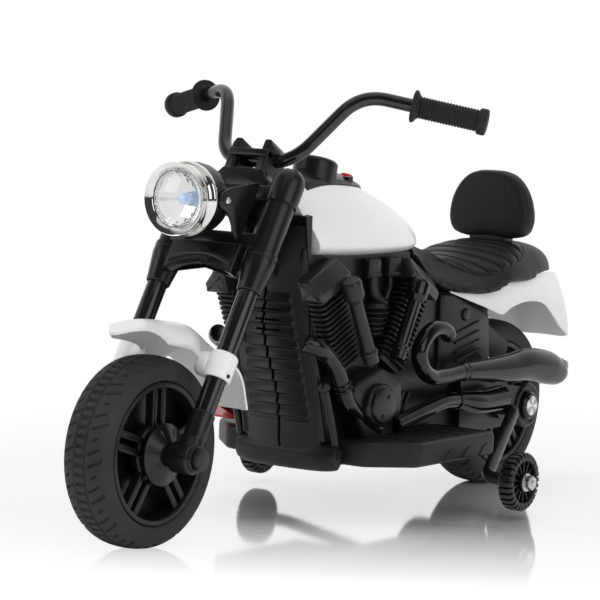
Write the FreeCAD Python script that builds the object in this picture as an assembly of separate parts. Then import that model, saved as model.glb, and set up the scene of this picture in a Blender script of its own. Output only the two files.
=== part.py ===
import FreeCAD, Part
import math
import os

# Frame: +X is the rider's left, +Y points to the rear, +Z is up, the ground is Z zero. All lengths in mm.
V = FreeCAD.Vector
overrun = 2.0
running_gap = 0.05
side_gap = 0.3

# Wheels and wheelbase
wheel_radius = 102.0
wheelbase = 687.0
front_axle_y = -361.0
rear_axle_y = front_axle_y + wheelbase
tyre_width = 55.0
tyre_half = tyre_width / 2
tyre_shares = ((0.98, 0.0), (1.00, 0.14), (0.98, 0.55), (0.88, 0.80), (0.60, 0.955))
rim_share = 0.745
rim_radius = wheel_radius * rim_share
rim_wall = 6.0
rim_half = tyre_half - 1.5
tread_groove = 2.0
tread_groove_width = 3.0
hub_radius = 16.0
hub_disc_radius = 32.0
hub_half = rim_half + 1.5
spoke_count = 5
spoke_width = 6.5
spoke_spacing = 14.0
spoke_depth = 11.0
axle_radius = 5.0
hub_cone_base = 33.0
hub_cone_tip = 10.5
axle_cap_radius = 12.0
axle_cap_width = 7.0
axle_proud = 3.0

# Raked fork: heights run along the leg from the front axle
rake_deg = 30.0
leg_x = 61.0
stem_back = 40.0
foot_boss_radius = 17.0
foot_boss_width = 30.0
foot_sleeve_radius = 13.0
foot_sleeve_top = 52.0
leg_tube_radius = 11.0
leg_tube_bottom = 23.0
leg_tube_top = 266.0
cover_bottom = 193.0
cover_lip_radius = 13.0
flare_top = 231.0
flare_radius = 17.5
collar_height = 8.0
cover_radius = 16.0
cover_top = 340.0
cover_dome = 14.0
dome_share = 0.88
yoke_thickness = 18.0
lower_yoke_bottom = flare_top + collar_height
lower_yoke_top = lower_yoke_bottom + yoke_thickness
upper_yoke_bottom = 297.0
upper_yoke_top = upper_yoke_bottom + yoke_thickness
yoke_lobe = 21.0
yoke_stem_lobe = 17.0
cowl_drop = 36.0
cowl_arch = 13.0
cowl_depth = 10.0
cowl_flat_share = 0.86
cowl_haunch_share = 0.75
stem_radius = 10.0
stem_head_radius = 15.0
stem_head_height = 7.0
stem_nut_height = 9.0
head_tube_radius = 17.0

# Handlebar, clamp and grips (lengths in the raked frame)
bar_radius = 7.5
bar_clamp_height = 356.0
bar_clamp_back = 11.0
bar_low_x = 46.0
bar_top_x = 90.0
bar_top_height = 455.0
bar_top_back = 28.0
bar_end_x = 211.0
bar_end_height = 464.0
bar_end_back = 93.0
bar_bend_radius = 22.0
grip_length = 80.0
grip_radius = 12.0
grip_flange_radius = 18.0
grip_end_radius = 14.5
grip_rib_count = 15
grip_rib_depth = 0.9
grip_end_wall = 4.0
clamp_half = 35.0
clamp_post_half = 26.0
clamp_front = 8.0
clamp_depth = 36.0
clamp_base_height = 18.0
clamp_top = 374.0
clamp_window_half = 15.0
clamp_window_bottom = 338.0

# Headlight, level, ahead of the fork
lamp_y = -321.0
lamp_z = 366.0
lamp_radius = 39.0
lamp_ring_radius = 40.0
lamp_depth = 26.0
lamp_wall = 2.0
lamp_bucket_depth = 40.0
lamp_bucket_radius = 34.0
lamp_bucket_tail = 20.0
lamp_lens_radius = 31.0
lamp_lens_rim = 3.0
lamp_lens_dome = 9.0
lamp_lens_set = 7.0
lamp_bulb_radius = 7.0
lamp_bulb_length = 9.0
bracket_thickness = 4.0
bracket_boss_radius = 13.0
bracket_screw_radius = 4.0
bracket_screw_head = 2.5

# Front fender round the front tyre
fender_radius = wheel_radius + 37.0
fender_wall = 3.0
fender_half = 41.0
fender_edge_radius = wheel_radius + 5.0
fender_front_deg = 112.0
fender_rear_deg = 16.0
fender_flap_deg = 42.0
fender_flap_thickness = 8.0
fender_beak_back = 31.0
fender_beak_height = 111.0
fender_beak_deg = 16.0
fender_sleeve_radius = 15.0
fender_sleeve_bottom = 90.0
fender_sleeve_height = 30.0
fender_side_shares = ((1.0, 0.0), (0.97, 0.35), (0.84, 0.72), (0.55, 0.93), (0.0, 1.0))

# Body core
body_half = 52.0
body_wall = 3.0
body_bottom = 58.0
body_keel = 24.0
body_front_bottom_y = -98.0
body_front_mid_y = -132.0
body_front_mid_z = 228.0
body_nose_y = -150.0
body_nose_z = 347.0
nose_plate = 12.0
tank_bottom = 302.0
tank_seat_y = 62.0
seat_bottom = 250.0
body_rear_y = 240.0
well_gap = 6.0
neck_half = 15.0
neck_length = 62.0
grille_count = 9
grille_height = 5.0
grille_depth = 2.0
grille_half = 40.0
grille_pitch = 13.0

# Rear arms, axle and drive
arm_inner_x = 48.0
arm_outer_x = 62.0
arm_height = 44.0
arm_start_y = 170.0
arm_boss_radius = 27.0
boss_share = 0.5
gusset_front_y = 232.0
gusset_rear_y = 290.0
gusset_top_z = 210.0
gusset_rear_z = 181.0
gusset_foot_z = 166.0
gusset_thickness = 6.0
rear_axle_radius = 6.0
axle_ring_radius = 17.5
axle_ring_width = 8.0
axle_disc_radius = 12.5
axle_disc_set = 4.0
axle_disc_proud = 1.0
gear_module = 2.1
pinion_teeth = 12
idler_large_teeth = 48
idler_small_teeth = 14
drive_teeth = 50
gear_width = 6.0
tooth_share = 0.40
tooth_tip_share = 0.45
tooth_root_share = 1.5
tip_share = 0.9
root_share = 1.25
case_outer_x = arm_inner_x
half_pitch_share = 0.5
case_wall = 1.8
case_rim = 3.0
gear_tip_gap = 2.0
idler_pin_radius = 4.0
drive_boss_radius = 17.0
motor_radius = 16.5
motor_length = 46.0
motor_shaft_radius = 3.0
motor_shaft_set = 6.0
battery_half = 25.0
battery_length = 90.0
battery_height = 95.0
battery_y = -60.0
bolt_y = 178.0
bolt_z = 222.0
inlet_y = 120.0
inlet_z = 215.0
inlet_radius = 6.0
inlet_depth = 16.0
inlet_lip_share = 1.5

# Tank and dash
tank_front_y = body_nose_y + nose_plate
tank_length = 266.0
tank_half = 80.0
tank_height = 90.0
tank_wall = 3.0
tank_power = 0.62
tank_shares = (
    (0.00, 0.66, 0.93), (0.12, 0.84, 0.99), (0.28, 0.98, 1.00), (0.46, 1.00, 0.92),
    (0.64, 0.90, 0.74), (0.82, 0.70, 0.55), (0.93, 0.52, 0.40), (1.00, 0.34, 0.25))
dash_front_y = -112.0
dash_length = 142.0
dash_half = 33.0
dash_thickness = 4.0
pod_radius = 25.0
pod_y = -62.0
pod_height = 9.0
button_y = 0.0
button_radius = 8.0
button_height = 16.0
button_proud = 5.0
button_travel = 2.5
button_tilt_deg = 19.0
switch_y = -20.0
switch_x = 16.0
switch_half = 5.0
switch_radius = 6.0
switch_proud = 2.0
switch_ridge = 1.5

# Seat and backrest
seat_front_y = 62.0
seat_length = 346.0
seat_half = 76.0
seat_height = 46.0
seat_power = 0.55
seat_shares = (
    (0.00, 0.55, 1.85), (0.14, 0.70, 1.36), (0.28, 0.88, 0.98), (0.43, 1.00, 0.84),
    (0.60, 0.97, 0.98), (0.78, 0.84, 1.02), (1.00, 0.56, 0.66))
seat_channel_count = 7
seat_channel_width = 2.0
seat_channel_depth = 2.5
seat_channel_start_share = 0.36
seat_channel_pitch_share = 0.058
rest_y = 326.0
rest_bottom = 306.0
rest_half = 56.0
rest_height = 84.0
rest_thickness = 30.0
rest_edge_share = 0.86
rest_taper_share = 0.22
rest_power = 0.62
post_half = 15.0
post_depth = 14.0
post_set = 14.0

# Rear fender
tail_y = 463.0
tail_z = 177.0
tail_half = 37.0
tail_front_y = 143.0
tail_side = 63.0
tail_wall = 3.0
tail_arch_radius = wheel_radius + 26.0
tail_round = 16.0
tail_front_drop = 34.0

# Engine relief on each flank
crank_y = -40.0
crank_z = 148.0
vee_deg = 30.0
fin_count = 13
fin_pitch = 6.2
fin_thickness = 3.0
fin_width = 50.0
fin_depth = 22.0
barrel_width = 42.0
barrel_depth = 15.0
barrel_start = 52.0
rocker_width = 62.0
rocker_height = 26.0
rocker_depth = 28.0
rocker_chamfer = 9.0
push_top = 126.0
push_bottom = 50.0
push_front_deg = 38.0
push_rear_deg = 16.0
push_radius = 7.0
push_cap_radius = 10.5
push_cap_length = 24.0
case_radius = 46.0
case_drop = 24.0
case_depth = 24.0
cam_half_width = 22.0
cam_half_height = 32.0
cam_depth = 12.0
coil_width = 19.0
coil_height = 27.0
coil_depth = 20.0
coil_pitch = 25.0
coil_top = 300.0
intake_radius = 19.0
intake_height = 40.0
intake_fin_count = 6
intake_bottom = 208.0
pipe_radius = 10.5
pipe_bend = 20.0
pipe_ring_radius = 12.5
pipe_ring_width = 9.0
ring_place_share = 0.25
header_points = ((-126.0, 206.0), (-114.0, 174.0), (-96.0, 100.0))
hook_points = ((92.0, 200.0), (64.0, 224.0), (22.0, 200.0), (26.0, 150.0), (66.0, 146.0), (104.0, 156.0))
lower_points = ((9.0, 112.0), (44.0, 116.0), (90.0, 134.0), (190.0, 124.0))
lower_pipe_radius = 10.0
stay_y = 150.0
stay_width = 16.0
intake_foot_share = 0.45
intake_core_share = 0.7
hook_x = 86.0
muffler_x = 90.0
muffler_radius = 17.0
muffler_length = 254.0
muffler_shares = (
    (0.00, 0.000, 0.66, 0.66), (0.18, -0.004, 0.80, 0.84), (0.42, 0.002, 0.96, 1.00),
    (0.68, 0.036, 1.06, 1.16),
    (0.88, 0.018, 1.00, 1.22), (0.96, 0.004, 0.66, 1.02), (1.00, -0.004, 0.36, 0.62))

# Footboards, pedal and training wheels
board_front_y = -84.0
board_rear_y = 127.0
board_outer_x = 140.0
board_corner = 46.0
board_top = 96.0
board_skirt = 28.0
board_rib_count = 7
board_rib_pitch = 22.0
board_rib_width = 2.0
board_rib_depth = 1.5
board_wall = 4.0
pad_inner_x = 96.0
pad_margin = 6.0
pad_rise = 2.0
pedal_x = 112.0
pedal_half = 17.0
pedal_length = 46.0
pedal_thickness = 7.0
pedal_hinge_y = -58.0
pedal_hinge_rise = 8.0
pedal_pin_radius = 2.5
pedal_tilt_deg = 24.0
trainer_x = 184.0
trainer_y = 108.0
trainer_radius = 34.0
trainer_lift = 10.0
trainer_width = 18.0
trainer_lugs = 28
trainer_lug_depth = 2.5
trainer_spokes = 14
trainer_rim = 8.0
trainer_hub = 8.0
trainer_web = 2.0
trainer_bolt_radius = 4.0
trainer_tube_radius = 7.5
trainer_plate = 5.0
trainer_bend = 16.0
trainer_collar = 8.0
trainer_foot_y = 256.0
trainer_foot_z = 104.0
washer_radius = 10.5
washer_thickness = 2.0
nut_radius = 7.5
nut_height = 8.0
screw_radius = 3.5


def box(x0, x1, y0, y1, z0, z1):
    return Part.makeBox(x1 - x0, y1 - y0, z1 - z0, V(x0, y0, z0))


def rod(radius, start, end):
    axis = V(*end) - V(*start)
    return Part.makeCylinder(radius, axis.Length, V(*start), axis)


def union(shapes):
    return shapes[0].multiFuse(shapes[1:]).removeSplitter()


def face(points):
    return Part.Face(Part.makePolygon([V(*p) for p in points] + [V(*points[0])]))


def prism_x(points, x0, x1):
    return face([(x0, y, z) for y, z in points]).extrude(V(x1 - x0, 0, 0))


def prism_y(points, y0, y1):
    return face([(x, y0, z) for x, z in points]).extrude(V(0, y1 - y0, 0))


def prism_z(points, z0, z1):
    return face([(x, y, z0) for x, y in points]).extrude(V(0, 0, z1 - z0))


def turned(points, axis):
    """Solid of revolution of a closed (radius, height) outline about the named axis through the origin."""
    if axis == "X":
        outline = face([(h, r, 0) for r, h in points])
        return outline.revolve(V(0, 0, 0), V(1, 0, 0), 360)
    if axis == "Y":
        outline = face([(r, h, 0) for r, h in points])
        return outline.revolve(V(0, 0, 0), V(0, 1, 0), 360)
    outline = face([(r, 0, h) for r, h in points])
    return outline.revolve(V(0, 0, 0), V(0, 0, 1), 360)


def moved(shape, x, y, z):
    return shape.translated(V(x, y, z))


def mirrored(shape):
    return shape.mirror(V(0, 0, 0), V(1, 0, 0))


def pair(shape):
    return Part.makeCompound([shape, mirrored(shape)])


def raked(shape):
    """Tip a shape built about the front axle back by the rake and set it on the front axle."""
    tipped = shape.copy()
    tipped.rotate(V(0, 0, 0), V(1, 0, 0), -rake_deg)
    return tipped.translated(V(0, front_axle_y, wheel_radius))


def raked_point(x, back, height):
    rake = math.radians(rake_deg)
    y = front_axle_y + back * math.cos(rake) + height * math.sin(rake)
    z = wheel_radius - back * math.sin(rake) + height * math.cos(rake)
    return (x, y, z)


def bent_tube(points, radius, bend):
    """Round bar along straight runs joined by arcs of one bend radius."""
    spots = [V(*p) for p in points]
    edges = []
    start = spots[0]
    for before, corner, after in zip(spots, spots[1:], spots[2:]):
        come = (corner - before).normalize()
        leave = (after - corner).normalize()
        turn = come.getAngle(leave)
        reach = bend * math.tan(turn / 2)
        arc_in = corner - come * reach
        arc_out = corner + leave * reach
        inward = (leave - come).normalize()
        middle = corner + inward * (bend / math.cos(turn / 2) - bend)
        edges += [Part.makeLine(start, arc_in), Part.Arc(arc_in, middle, arc_out).toShape()]
        start = arc_out
    edges.append(Part.makeLine(start, spots[-1]))
    path = Part.Wire(edges)
    ring = Part.Wire(Part.makeCircle(radius, spots[0], spots[1] - spots[0]))
    return path.makePipeShell([ring], True, True)


def hump(y, half, bottom, height, power):
    """Closed outline across the part: a flat foot and a rounded back over it."""
    steps = 12
    points = []
    for i in range(steps + 1):
        turn = math.pi * i / steps
        across = math.copysign(abs(math.cos(turn)) ** power, math.cos(turn))
        points.append(V(half * across, y, bottom + height * math.sin(turn) ** power))
    back = Part.BSplineCurve()
    back.interpolate(points)
    return Part.Wire([back.toShape(), Part.makeLine(points[-1], points[0])])


def hull(start_y, length, half, bottom, height, shares, power, inset):
    """Loft of humps; a positive inset draws the sides and back in, a negative one swells them."""
    outlines = []
    for along, wide, tall in shares:
        y = start_y + along * length
        outlines.append(hump(y, half * wide - inset, bottom, height * tall - inset, power))
    return Part.makeLoft(outlines, True)


def share_height(shares, share):
    """Height share between the two listed places on either side of a place."""
    for (a, _, low), (b, _, high) in zip(shares, shares[1:]):
        if a <= share <= b:
            return low + (high - low) * (share - a) / (b - a)
    return shares[-1][2]


def tyre():
    """Round-shouldered tyre about the X axis with two running grooves beside the crown."""
    wall = wheel_radius - rim_radius
    side = [(rim_radius + deep * wall, tyre_half * wide) for wide, deep in tyre_shares]
    crown = [(wheel_radius - running_gap, tread_groove_width * 3), (wheel_radius, 0)]
    left = side + crown
    outline = left + [(r, -x) for r, x in reversed(left[:-1])]
    ring = turned([(rim_radius, side[0][1]), *outline[1:-1], (rim_radius, -side[0][1])], "X")
    for x in (-tread_groove_width * 2, tread_groove_width * 2):
        x0 = x - tread_groove_width / 2
        x1 = x + tread_groove_width / 2
        floor = wheel_radius - tread_groove
        outer = wheel_radius + overrun
        ring = ring.cut(turned([(floor, x0), (outer, x0), (outer, x1), (floor, x1)], "X"))
    return ring


def rim(bore):
    """Open rim: a bead ring, a hub and five pairs of bars on each face."""
    inner = rim_radius - rim_wall
    ring = turned([(inner, -rim_half), (rim_radius, -rim_half), (rim_radius, rim_half),
                   (inner, rim_half)], "X")
    hub = rod(hub_radius, (-hub_half, 0, 0), (hub_half, 0, 0))
    pieces = [ring, hub]
    for face_x in (-rim_half + rim_wall / 2, rim_half - rim_wall / 2 - spoke_depth):
        pieces.append(rod(hub_disc_radius, (face_x, 0, 0), (face_x + spoke_depth, 0, 0)))
        for i in range(spoke_count):
            for shift in (-spoke_spacing / 2, spoke_spacing / 2):
                bar = box(face_x, face_x + spoke_depth, shift - spoke_width / 2, shift + spoke_width / 2,
                          hub_radius, inner + rim_wall / 2)
                bar.rotate(V(0, 0, 0), V(1, 0, 0), 360 * i / spoke_count)
                pieces.append(bar)
    hole = rod(bore, (-hub_half - overrun, 0, 0), (hub_half + overrun, 0, 0))
    return union(pieces).cut(hole)


def hub_cone():
    """Stepped cone beside the front hub."""
    end = leg_x - foot_boss_width / 2 - side_gap
    bore = axle_radius + running_gap
    step = (end - hub_half) / 3
    mean = (hub_cone_base + hub_cone_tip) / 2
    return turned([(bore, hub_half), (hub_cone_base, hub_half), (hub_cone_base, hub_half + step),
                   (mean, hub_half + step * 2), (hub_cone_tip, hub_half + step * 2), (hub_cone_tip, end),
                   (bore, end)], "X")


def fork_foot():
    """Lower leg end: an axle boss across the leg and a sleeve for the leg tube."""
    inner = leg_x - foot_boss_width / 2
    boss = rod(foot_boss_radius, (inner, 0, 0), (inner + foot_boss_width, 0, 0))
    sleeve = rod(foot_sleeve_radius, (leg_x, 0, 0), (leg_x, 0, foot_sleeve_top))
    socket = rod(leg_tube_radius, (leg_x, 0, leg_tube_bottom), (leg_x, 0, foot_sleeve_top + overrun))
    hole = rod(axle_radius, (inner - overrun, 0, 0), (inner + foot_boss_width + overrun, 0, 0))
    return raked(union([boss, sleeve]).cut(socket).cut(hole))


def fork_tube():
    return raked(rod(leg_tube_radius, (leg_x, 0, leg_tube_bottom), (leg_x, 0, leg_tube_top)))


def fork_cover():
    """Upper leg cover: flare, collar, straight sleeve and domed top, open below for the tube."""
    outline = [(leg_tube_radius, cover_bottom), (cover_lip_radius, cover_bottom), (flare_radius, flare_top),
               (flare_radius, lower_yoke_bottom), (cover_radius, lower_yoke_bottom),
               (cover_radius, cover_top - cover_dome),
               (cover_radius * dome_share, cover_top - cover_dome / 4),
               (cover_radius / 2, cover_top), (0, cover_top), (0, leg_tube_top),
               (leg_tube_radius, leg_tube_top)]
    return raked(moved(turned(outline, "Z"), leg_x, 0, 0))


def yoke(bottom, top):
    """Plate clamping both legs ahead of the stem."""
    lobes = [rod(yoke_lobe, (x, 0, bottom), (x, 0, top)) for x in (-leg_x, leg_x)]
    web = box(-leg_x, leg_x, -yoke_lobe, yoke_lobe, bottom, top)
    wedge = prism_z([(-leg_x, 0), (leg_x, 0), (yoke_stem_lobe, stem_back), (-yoke_stem_lobe, stem_back)],
                    bottom, top)
    tail = rod(yoke_stem_lobe, (0, stem_back, bottom), (0, stem_back, top))
    plate = union(lobes + [web, wedge, tail])
    for x in (-leg_x, leg_x):
        plate = plate.cut(rod(cover_radius, (x, 0, bottom - overrun), (x, 0, top + overrun)))
    return raked(plate.cut(rod(stem_radius, (0, stem_back, bottom - overrun),
                               (0, stem_back, top + overrun))))


def lower_yoke():
    """Lower plate with an arched cowl hanging from its front edge between the leg covers."""
    half = leg_x - flare_radius - side_gap
    foot = lower_yoke_bottom - cowl_drop
    arch = [(half * cowl_flat_share, foot),
            (half * cowl_flat_share / 2, foot + cowl_arch * cowl_haunch_share),
            (0, foot + cowl_arch)]
    left = [(-x, z) for x, z in arch[:-1]]
    cowl = prism_y([(-half, lower_yoke_bottom), (-half, foot)] + left + arch[::-1] +
                   [(half, foot), (half, lower_yoke_bottom)], -yoke_lobe, cowl_depth - yoke_lobe)
    return union([yoke(lower_yoke_bottom, lower_yoke_top), raked(cowl)])


def steering_stem():
    bottom = lower_yoke_bottom - stem_head_height
    head = rod(stem_head_radius, (0, stem_back, bottom), (0, stem_back, lower_yoke_bottom))
    shank = rod(stem_radius, (0, stem_back, bottom), (0, stem_back, upper_yoke_top + stem_nut_height))
    return raked(union([head, shank]))


def hexagon(radius, bottom, top):
    corners = [math.radians(60 * i) for i in range(6)]
    return prism_z([(radius * math.cos(a), radius * math.sin(a)) for a in corners], bottom, top)


def stem_nut():
    nut = hexagon(stem_head_radius, upper_yoke_top, upper_yoke_top + stem_nut_height)
    hole = rod(stem_radius, (0, 0, upper_yoke_top - overrun),
               (0, 0, upper_yoke_top + stem_nut_height + overrun))
    return raked(moved(nut.cut(hole), 0, stem_back, 0))


head_bottom = lower_yoke_top + side_gap
head_top = upper_yoke_bottom - side_gap


def neck_block():
    return box(-neck_half, neck_half, stem_back, stem_back + neck_length, head_bottom, head_top)


def steering_head():
    """Steel head tube with a square neck that runs back between the body halves."""
    tube = rod(head_tube_radius, (0, stem_back, head_bottom), (0, stem_back, head_top))
    bore = rod(stem_radius + running_gap, (0, stem_back, head_bottom - overrun),
               (0, stem_back, head_top + overrun))
    return raked(union([tube, neck_block()]).cut(bore))


bar_points = ((bar_low_x, bar_clamp_back, bar_clamp_height), (bar_top_x, bar_top_back, bar_top_height),
              (bar_end_x, bar_end_back, bar_end_height))


def handlebar():
    left = list(bar_points)
    right = [(-x, y, z) for x, y, z in reversed(left)]
    return raked(bent_tube(right + left, bar_radius, bar_bend_radius))


def grip():
    """Ribbed rubber grip with an inboard flange, turned about Z with its closed end at the bar end."""
    outline = [(bar_radius, 0), (bar_radius, -grip_length), (grip_flange_radius, -grip_length),
               (grip_flange_radius, -grip_length + grip_end_wall),
               (grip_radius, -grip_length + grip_end_wall * 2)]
    ribbed = grip_length - grip_end_wall * 4
    pitch = ribbed / grip_rib_count
    for i in range(grip_rib_count):
        start = -grip_length + grip_end_wall * 2 + pitch * i
        outline += [(grip_radius, start + pitch / 2), (grip_radius - grip_rib_depth, start + pitch / 2),
                    (grip_radius - grip_rib_depth, start + pitch), (grip_radius, start + pitch)]
    outline += [(grip_end_radius, -grip_end_wall), (grip_end_radius, grip_end_wall / 2),
                (grip_radius, grip_end_wall), (0, grip_end_wall), (0, 0)]
    shape = turned(outline, "Z")
    axis = V(*bar_points[2]) - V(*bar_points[1])
    shape.Placement = FreeCAD.Placement(V(*bar_points[2]), FreeCAD.Rotation(V(0, 0, 1), axis))
    return raked(shape)


def handlebar_clamp():
    """Block on the upper yoke with two posts that carry the bar."""
    back = clamp_depth - clamp_front
    base_top = upper_yoke_top + clamp_base_height
    base = prism_y([(-clamp_half, upper_yoke_top), (clamp_half, upper_yoke_top),
                    (clamp_half, base_top - clamp_front),
                    (clamp_half - clamp_front, base_top), (clamp_front - clamp_half, base_top),
                    (-clamp_half, base_top - clamp_front)], -clamp_front, back)
    posts = box(-clamp_post_half, clamp_post_half, -clamp_front, back, upper_yoke_top, clamp_top)
    window = box(-clamp_window_half, clamp_window_half, -clamp_front - overrun, back + overrun,
                 clamp_window_bottom, clamp_top + overrun)
    hole = rod(bar_radius, (-clamp_half, bar_clamp_back, bar_clamp_height),
               (clamp_half, bar_clamp_back, bar_clamp_height))
    nut = rod(stem_head_radius + side_gap, (0, stem_back, upper_yoke_top - overrun),
              (0, stem_back, clamp_top))
    return raked(union([base, posts]).cut(window).cut(hole).cut(nut))


def lamp(points):
    return moved(turned(points, "Y"), 0, lamp_y, lamp_z)


lamp_seat = lamp_radius - lamp_wall * 2
lamp_glass_back = lamp_lens_set + lamp_lens_rim


def headlight_bezel():
    lip = lamp_lens_set - lamp_wall
    neck = lamp_radius - lamp_wall
    return lamp([(lamp_seat - lamp_wall, 0), (lamp_radius, 0), (lamp_radius, lamp_wall * 2),
                 (neck, lip + lamp_wall),
                 (neck, lamp_depth - lip), (lamp_ring_radius, lamp_depth - lip + lamp_wall),
                 (lamp_ring_radius, lamp_depth), (lamp_seat, lamp_depth), (lamp_seat, lamp_lens_set),
                 (lamp_seat - lamp_wall, lamp_lens_set)])


def headlight_lens():
    """Clear domed lens held between the bezel lip and the reflector."""
    back = lamp_glass_back
    crown = lamp_lens_set - lamp_lens_dome
    inner = lamp_lens_radius - lamp_lens_rim * 2
    return lamp([(0, crown), (inner / 2, crown + lamp_wall), (inner, lamp_lens_set),
                 (lamp_seat, lamp_lens_set),
                 (lamp_seat, back), (inner - lamp_wall, back),
                 (inner / 2, crown + lamp_wall * 2 + lamp_wall / 2),
                 (0, crown + lamp_wall)])


def headlight_reflector():
    front = lamp_glass_back
    back = lamp_depth
    return lamp([(lamp_seat, front), (lamp_seat, front + lamp_wall), (lamp_bulb_radius + lamp_wall, back),
                 (lamp_bulb_radius, back), (lamp_bulb_radius, back - lamp_wall),
                 (lamp_seat - lamp_wall * 2, front)])


def headlight_bulb():
    return lamp([(0, lamp_depth - lamp_bulb_length), (lamp_bulb_radius / 2, lamp_depth - lamp_bulb_length),
                 (lamp_bulb_radius, lamp_depth - lamp_bulb_length / 2), (lamp_bulb_radius, lamp_depth),
                 (0, lamp_depth)])


lamp_side = lamp_ring_radius - lamp_wall
screw_y = lamp_y + lamp_bucket_depth


def bracket_shank():
    return rod(bracket_screw_radius / 2, (lamp_side - lamp_wall * 2, screw_y, lamp_z),
               (lamp_side + bracket_thickness, screw_y, lamp_z))


def headlight_bucket():
    """Closed black bowl behind the bezel."""
    wall = lamp_wall
    flat = lamp_bucket_depth + lamp_wall * 2
    tail = flat + lamp_bucket_tail
    bowl = lamp([(lamp_side - wall, lamp_depth), (lamp_side, lamp_depth), (lamp_side, flat),
                 (lamp_bucket_radius / 2, tail), (0, tail), (0, tail - wall),
                 (lamp_bucket_radius / 2 - wall, tail - wall), (lamp_side - wall, flat - wall / 2)])
    shank = bracket_shank()
    return bowl.cut(shank).cut(mirrored(shank))


def headlight_bracket():
    """Three-cornered plate from both yokes to the side of the bucket."""
    x0 = lamp_side
    x1 = lamp_side + bracket_thickness
    low = raked_point(0, -yoke_lobe, lower_yoke_bottom)
    high = raked_point(0, -yoke_lobe, upper_yoke_top)
    plate = prism_x([low[1:], high[1:], (screw_y, lamp_z + bracket_boss_radius),
                     (screw_y, lamp_z - bracket_boss_radius)], x0, x1)
    nose = rod(bracket_boss_radius, (x0, screw_y, lamp_z), (x1, screw_y, lamp_z))
    return union([plate, nose]).cut(bracket_shank())


def headlight_screw():
    x1 = lamp_side + bracket_thickness
    head = rod(bracket_screw_radius, (x1, screw_y, lamp_z), (x1 + bracket_screw_head, screw_y, lamp_z))
    return union([bracket_shank(), head])


def fender_outline(inset):
    rise = fender_radius - fender_edge_radius - inset
    left = [((fender_half - inset) * wide, fender_edge_radius + rise * tall) for wide,
            tall in fender_side_shares]
    points = left + [(-x, r) for x, r in reversed(left[:-1])]
    curve = Part.BSplineCurve()
    curve.interpolate([V(x, r, 0) for x, r in points])
    return curve, points


def fender_flap_cut():
    """Wedge about the axle that leaves only the crown of the guard behind the fork."""
    reach = fender_radius * 2
    turn = math.radians(fender_flap_deg)
    wedge = prism_x([(0, -reach), (reach, -reach), (reach * math.cos(turn), reach * math.sin(turn)), (0, 0)],
                    -fender_half - overrun, fender_half + overrun)
    round_room = rod(fender_radius - fender_flap_thickness, (-fender_half - overrun, 0, 0),
                     (fender_half + overrun, 0, 0))
    return wedge.common(round_room)


def fender_beak_cut():
    """Wedge under a line that rises forward, so that the guard ends in a beak."""
    reach = fender_radius * 2
    rise = (fender_beak_back + reach) * math.tan(math.radians(fender_beak_deg))
    return prism_x([(fender_beak_back, 0), (fender_beak_back, fender_beak_height),
                    (-reach, fender_beak_height + rise), (-reach, 0)],
                   -fender_half - overrun, fender_half + overrun)


def front_fender():
    """Arched guard round the tyre with a sleeve on each side for the fork tube."""
    outer, outer_points = fender_outline(0)
    inner, inner_points = fender_outline(fender_wall)
    ends = [Part.makeLine(V(*outer_points[i], 0), V(*inner_points[i], 0)) for i in (0, -1)]
    outline = Part.Face(Part.Wire(Part.__sortEdges__([outer.toShape(), ends[1], inner.toShape(), ends[0]])))
    outline.rotate(V(0, 0, 0), V(1, 0, 0), fender_rear_deg)
    guard = outline.revolve(V(0, 0, 0), V(1, 0, 0), fender_front_deg - fender_rear_deg)
    guard = guard.cut(fender_flap_cut()).cut(fender_beak_cut())
    pieces = [moved(guard, 0, front_axle_y, wheel_radius)]
    sleeve_top = fender_sleeve_bottom + fender_sleeve_height
    web_half = fender_sleeve_radius / 3
    for side in (-1, 1):
        sleeve = rod(fender_sleeve_radius, (side * leg_x, 0, fender_sleeve_bottom),
                     (side * leg_x, 0, sleeve_top))
        near = min(side * (fender_half - fender_wall / 2), side * leg_x)
        far = max(side * (fender_half - fender_wall / 2), side * leg_x)
        web = box(near, far, -web_half, web_half, sleeve_top - fender_sleeve_height / 2, sleeve_top)
        pieces += [raked(sleeve), raked(web)]
    guard = union(pieces)
    for side in (-1, 1):
        guard = guard.cut(raked(rod(leg_tube_radius, (side * leg_x, 0, 0),
                                    (side * leg_x, 0, cover_bottom))))
    return guard


axle_end = leg_x + foot_boss_width / 2 + axle_proud


def axle_cap(radius, inner, outer, bore, depth):
    plug = rod(radius, (inner, 0, 0), (outer, 0, 0))
    return plug.cut(rod(bore, (inner - overrun, 0, 0), (inner + depth, 0, 0)))


def at_front(shape):
    return moved(shape, 0, front_axle_y, wheel_radius)


def at_rear(shape):
    return moved(shape, 0, rear_axle_y, wheel_radius)


# Drive train in the right-hand gear case, in line ahead of the rear axle
idler_y = rear_axle_y - gear_module * (idler_small_teeth + drive_teeth) / 2
motor_y = idler_y - gear_module * (pinion_teeth + idler_large_teeth) / 2
case_inner_x = tyre_half + case_rim
gear_inner_x = case_inner_x + case_wall + side_gap
gear_mid_x = gear_inner_x + gear_width + side_gap
gear_outer_x = gear_mid_x + gear_width


def gear(teeth, x0, x1, turn_share):
    """Straight-flanked spur gear about the X axis; the turn share is in tooth pitches."""
    pitch_radius = gear_module * teeth / 2
    tip = pitch_radius + gear_module * tip_share
    root = pitch_radius - gear_module * root_share
    step = 2 * math.pi / teeth
    half = step * tooth_share / 2
    points = []
    for i in range(teeth):
        middle = step * (i + turn_share)
        for radius, swing in ((root, -half * tooth_root_share), (tip, -half * tooth_tip_share),
                              (tip, half * tooth_tip_share), (root, half * tooth_root_share)):
            points.append((radius * math.cos(middle + swing), radius * math.sin(middle + swing)))
    return prism_x(points, x0, x1)


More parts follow.
